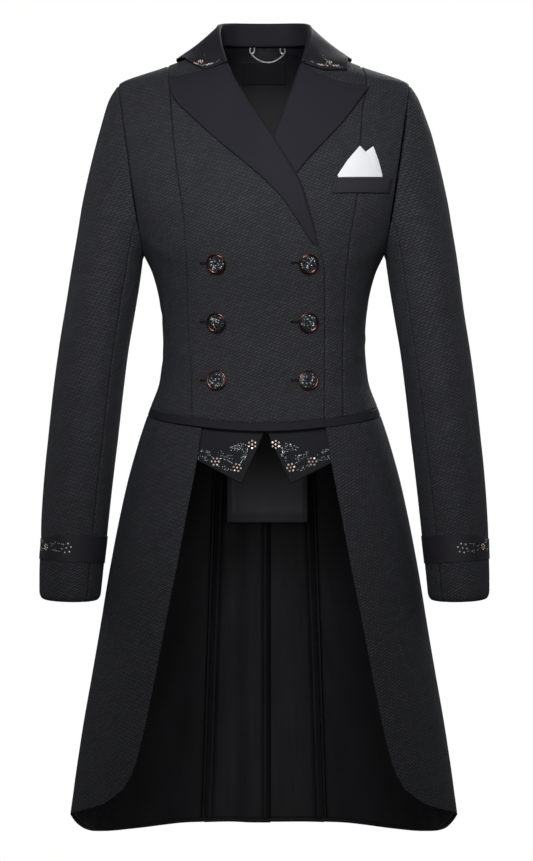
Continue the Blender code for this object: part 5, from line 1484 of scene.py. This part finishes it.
def sprig(start, heading, length, bend, leaves=4, leaf=3):
    """A stem that bends, with pairs of leaves, as (x, z) places of small stones."""
    steps = max(3, int(length / STEM_STEP))
    at, direction, places = np.array(start, float), math.radians(heading), []
    every = max(1, steps // (leaves + 1))
    for step in range(steps):
        at = at + length / steps * np.array((math.cos(direction), math.sin(direction)))
        direction += math.radians(bend) / steps
        places.append(at)
        if step and step % every == 0:
            for side in (-1, 1):
                for k in range(1, leaf + 1):
                    out = direction + side * math.radians(62 - 12 * k)
                    places.append(at + LEAF_STEP * k * np.array((math.cos(out), math.sin(out))))
    return np.array(places)


def set_stones(name, flat_places, frame_at, radius, look, wobble=0.18):
    """Stones at flat places, which frame_at turns into places, normals and sides in space."""
    place, normal, side, _ = frame_at(flat_places[:, 0], flat_places[:, 1])
    turn = rng.uniform(0, math.pi, len(place))[:, None]
    tilt = normal + rng.normal(0, wobble, normal.shape)
    up = np.cross(normal, side)
    forward = side * np.cos(turn) + up * np.sin(turn)
    sizes = radius * rng.uniform(0.92, 1.06, len(place))
    scatter(name, STONE, place, forward, tilt, sizes, look, smooth=False)


def set_leaves(name, flat_places, frame_at, radius):
    """Small stones of leaves: some are pale, and the others dark."""
    pale = rng.random(len(flat_places)) < PALE_SHARE
    for chosen, look, label in ((pale, PALE_STONE, "pale"), (~pale, DARK_STONE, "dark")):
        places, label = flat_places[chosen], f"{name}_leaves_{label}"
        set_stones(label, places, frame_at, radius, look, wobble=0.3)


PALE_SHARE = 0.50
rng = np.random.default_rng(11)
GARLANDS = (  # a vest point's garland on the wearer's left, seen from the front: rosettes, then sprigs
    (((0.0340, -0.5310), 10), ((0.0150, -0.5020), 30), ((0.0620, -0.5235), 0)),
    (
        ((0.0305, -0.5262), 128, 0.022, -38),
        ((0.0375, -0.5270), 28, 0.024, 24),
        ((0.0390, -0.5345), 8, 0.018, 30),
        ((0.0185, -0.5030), 8, 0.024, -40),
        ((0.0180, -0.5060), -28, 0.020, 60),
        ((0.0660, -0.5225), 20, 0.022, -16),
        ((0.0655, -0.5190), 58, 0.018, -60),
        ((0.0580, -0.5210), 150, 0.016, 40),
    ),
)


def make_garlands():
    def frame_at(x, z):
        return on_front(x, z, -CLOTH - LINING - VEST_GAP + 0.1 * MM)

    roses, sprigs = GARLANDS
    for name, side in SIDES:
        mirror = np.array((side, 1.0))
        places = np.concatenate([rosette(at, turn) for at, turn in roses]) * mirror
        set_stones(f"{name}_point_roses", places, frame_at, PETAL_STONE, ROSE_STONE)
        leaves = np.concatenate([sprig(*row) for row in sprigs]) * mirror
        set_leaves(f"{name}_point", apart(leaves, 1.5 * MM), frame_at, LEAF_STONE)


def apart(places, least):
    """Leaves out the places that lie closer to an earlier one than this."""
    kept = []
    for place in places:
        if all(np.hypot(*(place - other)) >= least for other in kept):
            kept.append(place)
    return np.array(kept)


def on_grid(grid, u, v):
    """Points at these shares of a grid's rows and columns, short of its edges, with the directions there."""
    rows, cols = grid.shape[:2]

    def read(u, v):
        r, c = u * (rows - 1), v * (cols - 1)
        r0, c0 = np.minimum(r.astype(int), rows - 2), np.minimum(c.astype(int), cols - 2)
        fr, fc = (r - r0)[:, None], (c - c0)[:, None]
        low = grid[r0, c0] * (1 - fc) + grid[r0, c0 + 1] * fc
        high = grid[r0 + 1, c0] * (1 - fc) + grid[r0 + 1, c0 + 1] * fc
        return low * (1 - fr) + high * fr

    u, v = np.clip(u, 0.02, 0.98), np.clip(v, 0.02, 0.98)
    place = read(u, v)
    down, across = read(u + 0.01, v) - read(u - 0.01, v), read(u, v + 0.01) - read(u, v - 0.01)
    return place, unit(np.cross(across, down)), across


TIP_PETAL, TIP_LEAF = 0.95 * MM, 0.55 * MM  # radii of the stones
TIP_STRETCH = 1.9  # the motif is drawn out along the collar, where the front view foreshortens it
TIP_ROSES = (((0.0200, 0.0150), 20, 0.80), ((0.0150, 0.0345), 50, 0.72), ((0.0330, 0.0265), 10, 0.66))
TIP_SPRIGS = (  # metres back along the collar from its front end, and up from the leaf's outer edge
    ((0.0190, 0.0185), 105, 0.012, -25),
    ((0.0225, 0.0170), 50, 0.011, 30),
    ((0.0165, 0.0130), 200, 0.010, 26),
    ((0.0350, 0.0285), 55, 0.011, -40),
    ((0.0145, 0.0380), 100, 0.010, -50),
)


def make_collar_stones(face):
    """Small sprays of stones on the collar's two front tips."""
    rows, cols = face.shape[:2]
    for name, end in (("right", 0), ("left", rows - 1)):
        reach = rows * 9 // 20
        patch = face[:reach] if end == 0 else face[: rows - 1 - reach : -1]
        patch = patch[:, : -LEAF_STEPS - 1 : -1]
        length = np.linalg.norm(np.diff(patch[:, 0], axis=0), axis=1).sum()
        width = np.linalg.norm(np.diff(patch[0], axis=0), axis=1).sum()

        def frame_at(x, z, patch=patch, length=length, width=width):
            place, normal, across = on_grid(patch, TIP_STRETCH * x / length, z / width)
            outward = place - np.array((0.0, 0.02, -0.05))
            normal *= np.sign((normal * outward).sum(axis=-1, keepdims=True))
            return place, normal, across, None

        roses = np.concatenate([rosette(at, turn, size) for at, turn, size in TIP_ROSES])
        leaves = apart(np.concatenate([sprig(*row, leaves=2, leaf=2) for row in TIP_SPRIGS]), 1.7 * MM)
        set_stones(f"{name}_collar_roses", roses, frame_at, TIP_PETAL, ROSE_STONE)
        set_leaves(f"{name}_collar", leaves, frame_at, TIP_LEAF)


CUFF_ROSES = (((0.0000, 0.0000), 15, 1.35), ((-0.0330, -0.0010), 40, 0.75))
CUFF_SPRIGS = (
    ((-0.0050, -0.0045), 190, 0.020, -40),
    ((-0.0055, 0.0045), 170, 0.020, 40),
    ((-0.0360, -0.0030), 200, 0.012, -30),
    ((-0.0350, 0.0030), 150, 0.012, 30),
)
CUFF_MIDDLE = (82.0, 13.52)  # angle round the sleeve and ring
CUFF_RADIUS, CUFF_RING = 0.045, 0.034  # the sleeve's radius there, and the length of a ring
CUFF_PETAL, CUFF_LEAF = 1.2 * MM, 0.6 * MM  # radii of the stones


def make_cuff_stones():
    for name, side in SIDES:
        mirror = np.array((side, 1.0, 1.0))

        def frame_at(x, z, name=name, mirror=mirror, side=side):
            angle = np.radians(CUFF_MIDDLE[0]) + x / CUFF_RADIUS
            ring = CUFF_MIDDLE[1] - z / CUFF_RING
            out = sleeve_out(angle, ring, name) + BAND_GAP + BAND_CLOTH
            place = sleeve(angle, ring, out)
            normal = sleeve(angle, ring, out + 1.0 * MM) - place
            across = sleeve(angle + 0.02, ring, out) - place
            return hung(place * mirror, side), normal * mirror / MM, across * mirror, None

        roses = np.concatenate([rosette(at, turn, size) for at, turn, size in CUFF_ROSES])
        leaves = apart(np.concatenate([sprig(*row, leaves=2, leaf=2) for row in CUFF_SPRIGS]), 1.6 * MM)
        set_stones(f"{name}_cuff_roses", roses, frame_at, CUFF_PETAL, ROSE_STONE)
        set_leaves(f"{name}_cuff", leaves, frame_at, CUFF_LEAF)


RIM_PROFILE = (  # radius and height above the front, in millimetres
    (9.6, 4.1), (10.3, 4.3), (10.5, 4.8), (11.0, 5.2), (11.6, 5.3), (12.1, 5.1), (12.5, 4.6), (12.6, 3.9),
    (12.5, 3.2), (12.1, 2.7), (11.0, 2.4), (7.0, 1.9), (4.2, 1.6), (0.0, 1.6),
)  # fmt: skip
SHANK_PROFILE = ((3.9, 0.2), (4.3, 0.6), (4.0, 0.95), (4.3, 1.3), (4.0, 1.7), (0.0, 1.8))
FACE_PROFILE = ((10.35, 4.2), (9.0, 4.45), (6.0, 4.7), (3.0, 4.85), (0.0, 4.9))
FACE_STONES, BRIGHT_STONES = 118, 17  # stones on a button's face, and how many of them are pale
FACE_STONE, FACE_REACH = 0.86 * MM, 9.7 * MM  # radius of a stone, and of the face that they fill


def turned(profile, place, normal, side, up, segments, ripple=0.0, ripples=36):
    """Points and faces of a turned surface whose profile ends on the axis."""
    turn = turns(segments)
    circle = side * np.cos(turn)[:, None] + up * np.sin(turn)[:, None]
    points = []
    for radius, height in profile[:-1]:
        wavy = radius * MM * (1 + ripple * np.cos(ripples * turn))[:, None]
        points.append(place + normal * height * MM + circle * wavy)
    points = np.concatenate(points + [[place + normal * profile[-1][1] * MM]])
    faces = bands(len(profile) - 1, segments)
    last = (len(profile) - 2) * segments
    faces += [[last + k, last + (k + 1) % segments, len(points) - 1] for k in range(segments)]
    return points, faces


def spiral(count, radius):
    """Flat places in an even spiral, as seeds lie in a flower head."""
    number = np.arange(count) + 0.5
    reach, turn = radius * np.sqrt(number / count), number * math.pi * (3 - math.sqrt(5))
    return np.stack([reach * np.cos(turn), reach * np.sin(turn)], axis=-1)


def make_buttons():
    spots = [(x, z) for z in BUTTON_ROWS for x in BUTTON_COLUMNS]
    for number, (x, z) in enumerate(spots, start=1):
        place, normal, side, up = (v.reshape(3) for v in on_front(x, z, 0.0, "right"))
        node = f"button_{number}"
        for part, look, slot, nodes, profile, shape in (
            ("rim", ROSE_GOLD, "button_rim", [node], RIM_PROFILE, (96, 0.002, 48)),
            ("shank", THREAD, "smooth_cloth", [], SHANK_PROFILE, (32,)),
            ("bed", BED, "crystal_dark", [], FACE_PROFILE, (48,)),
        ):
            points, faces = turned(profile, place, normal, side, up, *shape)
            made = new_object(f"{node}_{part}", points, faces, [look], uv=points[:, [0, 2]])
            piece(made, nodes)
        flat = spiral(FACE_STONES, FACE_REACH)
        reach = np.hypot(flat[:, 0], flat[:, 1])
        high = 4.85 - 0.45 * (reach / (10 * MM)) ** 2
        places = place + side * flat[:, :1] + up * flat[:, 1:] + normal * high[:, None] * MM
        turn = rng.uniform(0, math.pi, len(flat))[:, None]
        forward = side * np.cos(turn) + up * np.sin(turn)
        tilt = normal + rng.normal(0, 0.16, places.shape)
        bright = rng.permutation(len(flat)) < BRIGHT_STONES
        for shown, look, label in ((~bright, DARK_STONE, "dark"), (bright, PALE_STONE, "pale")):
            scatter(
                f"{node}_{label}_stones", STONE, places[shown], forward[shown], tilt[shown], FACE_STONE,
                look, smooth=False,
            )
        make_buttonhole(number, x, z)


HOLE_REACH = (19.5 * MM, -1.0 * MM)  # from the button's middle: its end towards the right, and its other end
HOLE_STITCHES, HOLE_STITCH = 26, (1.9 * MM, 0.42 * MM)  # stitches in a row, and each one's length and radius
HOLE_HALF, HOLE_EYE = 0.95 * MM, 1.3 * MM  # from the slit to a row, and the radius of the eye at its end


def make_buttonhole(number, x, z):
    """A worked buttonhole beside and under the button: a slit between two rows of purl stitches."""
    start, end = x - HOLE_REACH[0], x - HOLE_REACH[1]
    stitch, node = bead(*HOLE_STITCH), f"buttonhole_{number}"
    for row, side in (("upper", 1), ("lower", -1)):
        row_x = np.linspace(start, end, HOLE_STITCHES)
        place, normal, _, up = on_front(row_x, z + side * HOLE_HALF, 0.1 * MM, "right")
        scatter(f"{node}_{row}", stitch, place, up, normal, 1.0, THREAD)
    turn = np.linspace(math.pi / 2, 3 * math.pi / 2, 9)
    eye_x, eye_z = start + HOLE_EYE * np.cos(turn), z + HOLE_EYE * np.sin(turn)
    place, normal, side, up = on_front(eye_x, eye_z, 0.1 * MM, "right")
    away = side * np.cos(turn)[:, None] + up * np.sin(turn)[:, None]
    scatter(f"{node}_eye", stitch, place, away, normal, 1.0, THREAD)


# ---------------------------------------------------------------- inside the neck
def on_back(x, z, out):
    """Points on the inner side of the back, with the direction inwards."""
    x, z = np.broadcast_arrays(np.asarray(x, float), np.asarray(z, float))
    angle = back_angle(x, z)
    lift = relief(angle, z)
    place = skin(angle, z, out + lift)
    return place, unit(place - skin(angle, z, out + lift + 1.0 * MM))


def make_neck_lining():
    rows, cols = 41, 61
    out = -CLOTH - 4 * LAYER_GAP
    share = np.linspace(-1, 1, cols)
    top_x, bottom_x = NECK_LINING_X[0] * share, NECK_LINING_X[1] * share
    middle_z, end_z, bottom_z = NECK_LINING_Z
    top = pairs(back_angle(top_x, 0.0 * share), middle_z + (end_z - middle_z) * share**2)
    bottom = pairs(back_angle(bottom_x, bottom_z + 0 * share), bottom_z)
    down = np.linspace(0, 1, rows) ** 1.4
    left = top[0] + (bottom[0] - top[0]) * down[:, None]
    right = top[-1] + (bottom[-1] - top[-1]) * down[:, None]
    body_cloth(
        "neck_lining", coons(top, bottom, left, right), level(out), LINING, (SATIN, SHADED_NECK_SATIN), (70, 80),
        ("top",), "satin_lining", ["cloth_right_back", "cloth_left_back"],
    )
    out -= LINING + LAYER_GAP
    x = np.linspace(-1, 1, 60)[None] * LABEL_HALF_WIDTH
    z = np.linspace(LABEL_TOP, LABEL_BOTTOM, 30)[:, None] + 0 * x
    outer, inner = on_back(x, z, out - LABEL_THICKNESS)[0], on_back(x, z, out)[0]
    cloth("neck_label", outer, inner, (LABEL, LABEL), "label_cloth", "laid", ["cloth_neck_lining"])
    inset, pitch = 1.8 * MM, 2.4 * MM
    half, top_z, low_z = LABEL_HALF_WIDTH - inset, LABEL_TOP - inset, LABEL_BOTTOM + inset
    corners = np.array([(-half, top_z), (half, top_z), (half, low_z), (-half, low_z), (-half, top_z)])
    line = np.concatenate([
        np.linspace(a, b, int(np.hypot(*(b - a)) / pitch), endpoint=False)
        for a, b in zip(corners, corners[1:])
    ])
    place, inward = on_back(line[:, 0], line[:, 1], out - LABEL_THICKNESS)
    ahead = np.roll(place, -1, axis=0) - place
    scatter("label_stitches", bead(1.7 * MM, 0.2 * MM), place, ahead, inward, 1.0, THREAD)
    return out - LABEL_THICKNESS


def tube(line, radius, sides=10, closed=False):
    """Points and faces of a round tube along a line of points."""
    line = np.asarray(line, float)
    around = np.roll(line, -1, axis=0) - np.roll(line, 1, axis=0)
    ahead = unit(around if closed else np.gradient(line, axis=0))
    plane = np.cross(line[len(line) // 3] - line[0], line[2 * len(line) // 3] - line[0])
    plane /= np.linalg.norm(plane)
    side = unit(np.cross(ahead, plane))
    up = np.cross(side, ahead)
    turn = turns(sides)
    wide = np.broadcast_to(np.asarray(radius, float), (len(line),))[:, None, None]
    rings = line[:, None] + wide * (
        np.cos(turn)[None, :, None] * side[:, None] + np.sin(turn)[None, :, None] * up[:, None]
    )
    faces = bands(len(line), sides, closed)
    if not closed:
        faces += [list(range(sides)), list(range((len(line) - 1) * sides, len(line) * sides))]
    return rings.reshape(-1, 3), faces


LINK_LENGTH, LINK_WIDTH, LINK_WIRE = 3.3 * MM, 2.1 * MM, 0.36 * MM
LINK_TWIST = 38  # degrees that each link is turned either way round the chain
HANGER_Z = CHAIN_END_Z + 6.0 * MM


def make_hanger(out):
    for name, x in (("right", CHAIN_END_X[0]), ("left", CHAIN_END_X[1])):
        turn = np.radians(np.linspace(-220, 40, 40))
        shoe_x = x + SHOE_HALF_WIDTH * np.cos(turn)
        shoe_z = HANGER_Z + SHOE_HALF_HEIGHT * np.sin(turn)
        line = on_back(shoe_x, shoe_z, out - 0.3 * MM)[0]
        share = np.linspace(0, 1, 40)
        heels = 0.22 * MM * (np.abs(share - 0.5) > 0.47)
        points, faces = tube(line, SHOE_RADIUS * (0.78 + 0.3 * np.sin(math.pi * share)) + heels, 12)
        made = new_object(f"{name}_chain_end_shoe", points, faces, [SILVER], uv=points[:, [0, 2]])
        piece(made, [f"{name}_chain_end"])
    share = np.linspace(0, 1, 600)
    low = HANGER_Z - CHAIN_START
    chain_x = CHAIN_END_X[0] + (CHAIN_END_X[1] - CHAIN_END_X[0]) * share
    chain_z = low - (CHAIN_SAG - CHAIN_START) * 4 * share * (1 - share)
    line, inward = on_back(chain_x, chain_z, out - 1.0 * MM)
    far = travelled(line)
    count = int(far[-1] / (LINK_LENGTH - 2.5 * LINK_WIRE))
    at = (np.arange(count) + 0.5) / count * far[-1]
    place, normal = (
        np.stack([np.interp(at, far, values[:, k]) for k in range(3)], axis=-1) for values in (line, inward)
    )
    ahead = np.gradient(place, axis=0)
    turn = turns(20)
    oval = np.stack([
        (LINK_LENGTH / 2 - LINK_WIRE) * np.cos(turn) * (1 + 0.10 * np.cos(2 * turn)),
        (LINK_WIDTH / 2 - LINK_WIRE) * np.sin(turn),
        0 * turn,
    ], axis=-1)
    twist = np.radians(np.where(np.arange(count) % 2 == 0, LINK_TWIST, -LINK_TWIST))[:, None]
    outward = normal * np.cos(twist) + np.cross(normal, unit(ahead)) * np.sin(twist)
    link = tube(oval, LINK_WIRE, 8, closed=True)
    chain = scatter("hanger_links", link, place, ahead, outward, 1.0, SILVER)
    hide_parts("hanger_chain")


# ---------------------------------------------------------------- picture
def add_light(name, place, target, size, power, spread):
    data = bpy.data.lights.new(name, "AREA")
    data.shape = "RECTANGLE"
    data.size, data.size_y = size
    data.energy = power
    data.spread = math.radians(spread)
    made = bpy.data.objects.new(name, data)
    made.location = place
    made.rotation_euler = (Vector(target) - Vector(place)).to_track_quat("-Z", "Y").to_euler()
    made.visible_camera = False
    bpy.context.scene.collection.objects.link(made)


def make_camera():
    data = bpy.data.cameras.new("camera")
    data.sensor_width = 36.0
    data.lens = 163.07
    made = bpy.data.objects.new("camera", data)
    made.location = (0.0032, -5.0, -0.4853)
    made.rotation_euler = (math.pi / 2, 0.0, 0.0)
    bpy.context.scene.collection.objects.link(made)
    bpy.context.scene.camera = made


def make_world():
    world = bpy.data.worlds.new("studio")
    world.use_nodes = True
    bpy.context.scene.world = world
    tree = world.node_tree
    tree.nodes.clear()
    path = add(tree, "ShaderNodeLightPath")
    dim = add(tree, "ShaderNodeBackground", in_Color=(1.0, 1.0, 1.0, 1.0), in_Strength=0.06)
    bright = add(tree, "ShaderNodeBackground", in_Color=(1.0, 1.0, 1.0, 1.0), in_Strength=1.0)
    seen = path.outputs["Is Camera Ray"]
    blend = add(tree, "ShaderNodeMixShader", in_0=seen, in_1=dim.outputs[0], in_2=bright.outputs[0])
    add(tree, "ShaderNodeOutputWorld", in_0=blend.outputs[0])


FLOOR_Z = -1.40
FLOOR_GLOW = 0.80  # share of its own light at the middle of the floor


def make_floor():
    """A round pale floor whose looks fade to the white of the background at its rim."""
    radius, sides = 3.0, 96
    rim = [(radius * math.cos(turn), radius * math.sin(turn), FLOOR_Z) for turn in turns(sides)]
    points = [(0.0, 0.0, FLOOR_Z)] + rim
    faces = [[0, 1 + k, 1 + (k + 1) % sides] for k in range(sides)]
    mesh = bpy.data.meshes.new("floor")
    mesh.from_pydata(points, [], faces)
    made = bpy.data.objects.new("floor", mesh)
    bpy.context.scene.collection.objects.link(made)
    made.visible_diffuse = made.visible_glossy = False
    look, tree, shader = material("floor", (0.85, 0.85, 0.85), 0.8)
    place = add(tree, "ShaderNodeTexCoord")
    far = add(tree, "ShaderNodeVectorMath", operation="LENGTH", in_0=place.outputs["Object"])
    fade = add(tree, "ShaderNodeMapRange", in_Value=far.outputs["Value"], in_From_Min=0.8, in_From_Max=2.9)
    fade.inputs["To Min"].default_value = FLOOR_GLOW
    glow = add(tree, "ShaderNodeEmission", in_Color=(1.0, 1.0, 1.0, 1.0))
    share, lit, bright = (node.outputs[0] for node in (fade, shader, glow))
    blend = add(tree, "ShaderNodeMixShader", in_0=share, in_1=lit, in_2=bright)
    out = next(n for n in tree.nodes if n.type == "OUTPUT_MATERIAL")
    tree.links.new(blend.outputs[0], out.inputs["Surface"])
    mesh.materials.append(look)


MIDDLE = (0.0, 0.0, -0.42)  # near the middle of the coat, where most lights are aimed
LIGHTS = (  # name, place, what it shines at, size, power in watts and spread in degrees
    ("key", (-0.12, -1.5, 0.30), (0.03, 0.0, -0.21), (0.6, 0.45), 1.12, 44),
    ("front", (0.0, -4.4, 0.4), MIDDLE, (3.2, 2.4), 62.0, 180),
    ("right", (-2.3, 1.5, 0.5), MIDDLE, (1.2, 1.6), 8.0, 180),
    ("left", (2.3, 1.5, 0.5), MIDDLE, (1.2, 1.6), 8.0, 180),
    ("back", (0.5, 2.0, 0.9), MIDDLE, (1.3, 1.0), 42.0, 180),
)


make_fronts()
make_side_panels()
make_backs()
make_waist_bands()
make_lapel("right", -1, RIGHT_LAPEL_OUTER, RIGHT_NOTCH)
make_lapel("left", 1, LEFT_LAPEL_OUTER, LEFT_NOTCH)
collar_face = make_collar()
make_sleeves()
make_tails()
make_vest_points()
make_inner_tab()
make_pocket()
make_garlands()
make_collar_stones(collar_face)
make_cuff_stones()
make_buttons()
make_hanger(make_neck_lining())
make_camera()
make_world()
make_floor()
for light in LIGHTS:
    add_light(*light)
bpy.context.scene.view_settings.view_transform = "Standard"
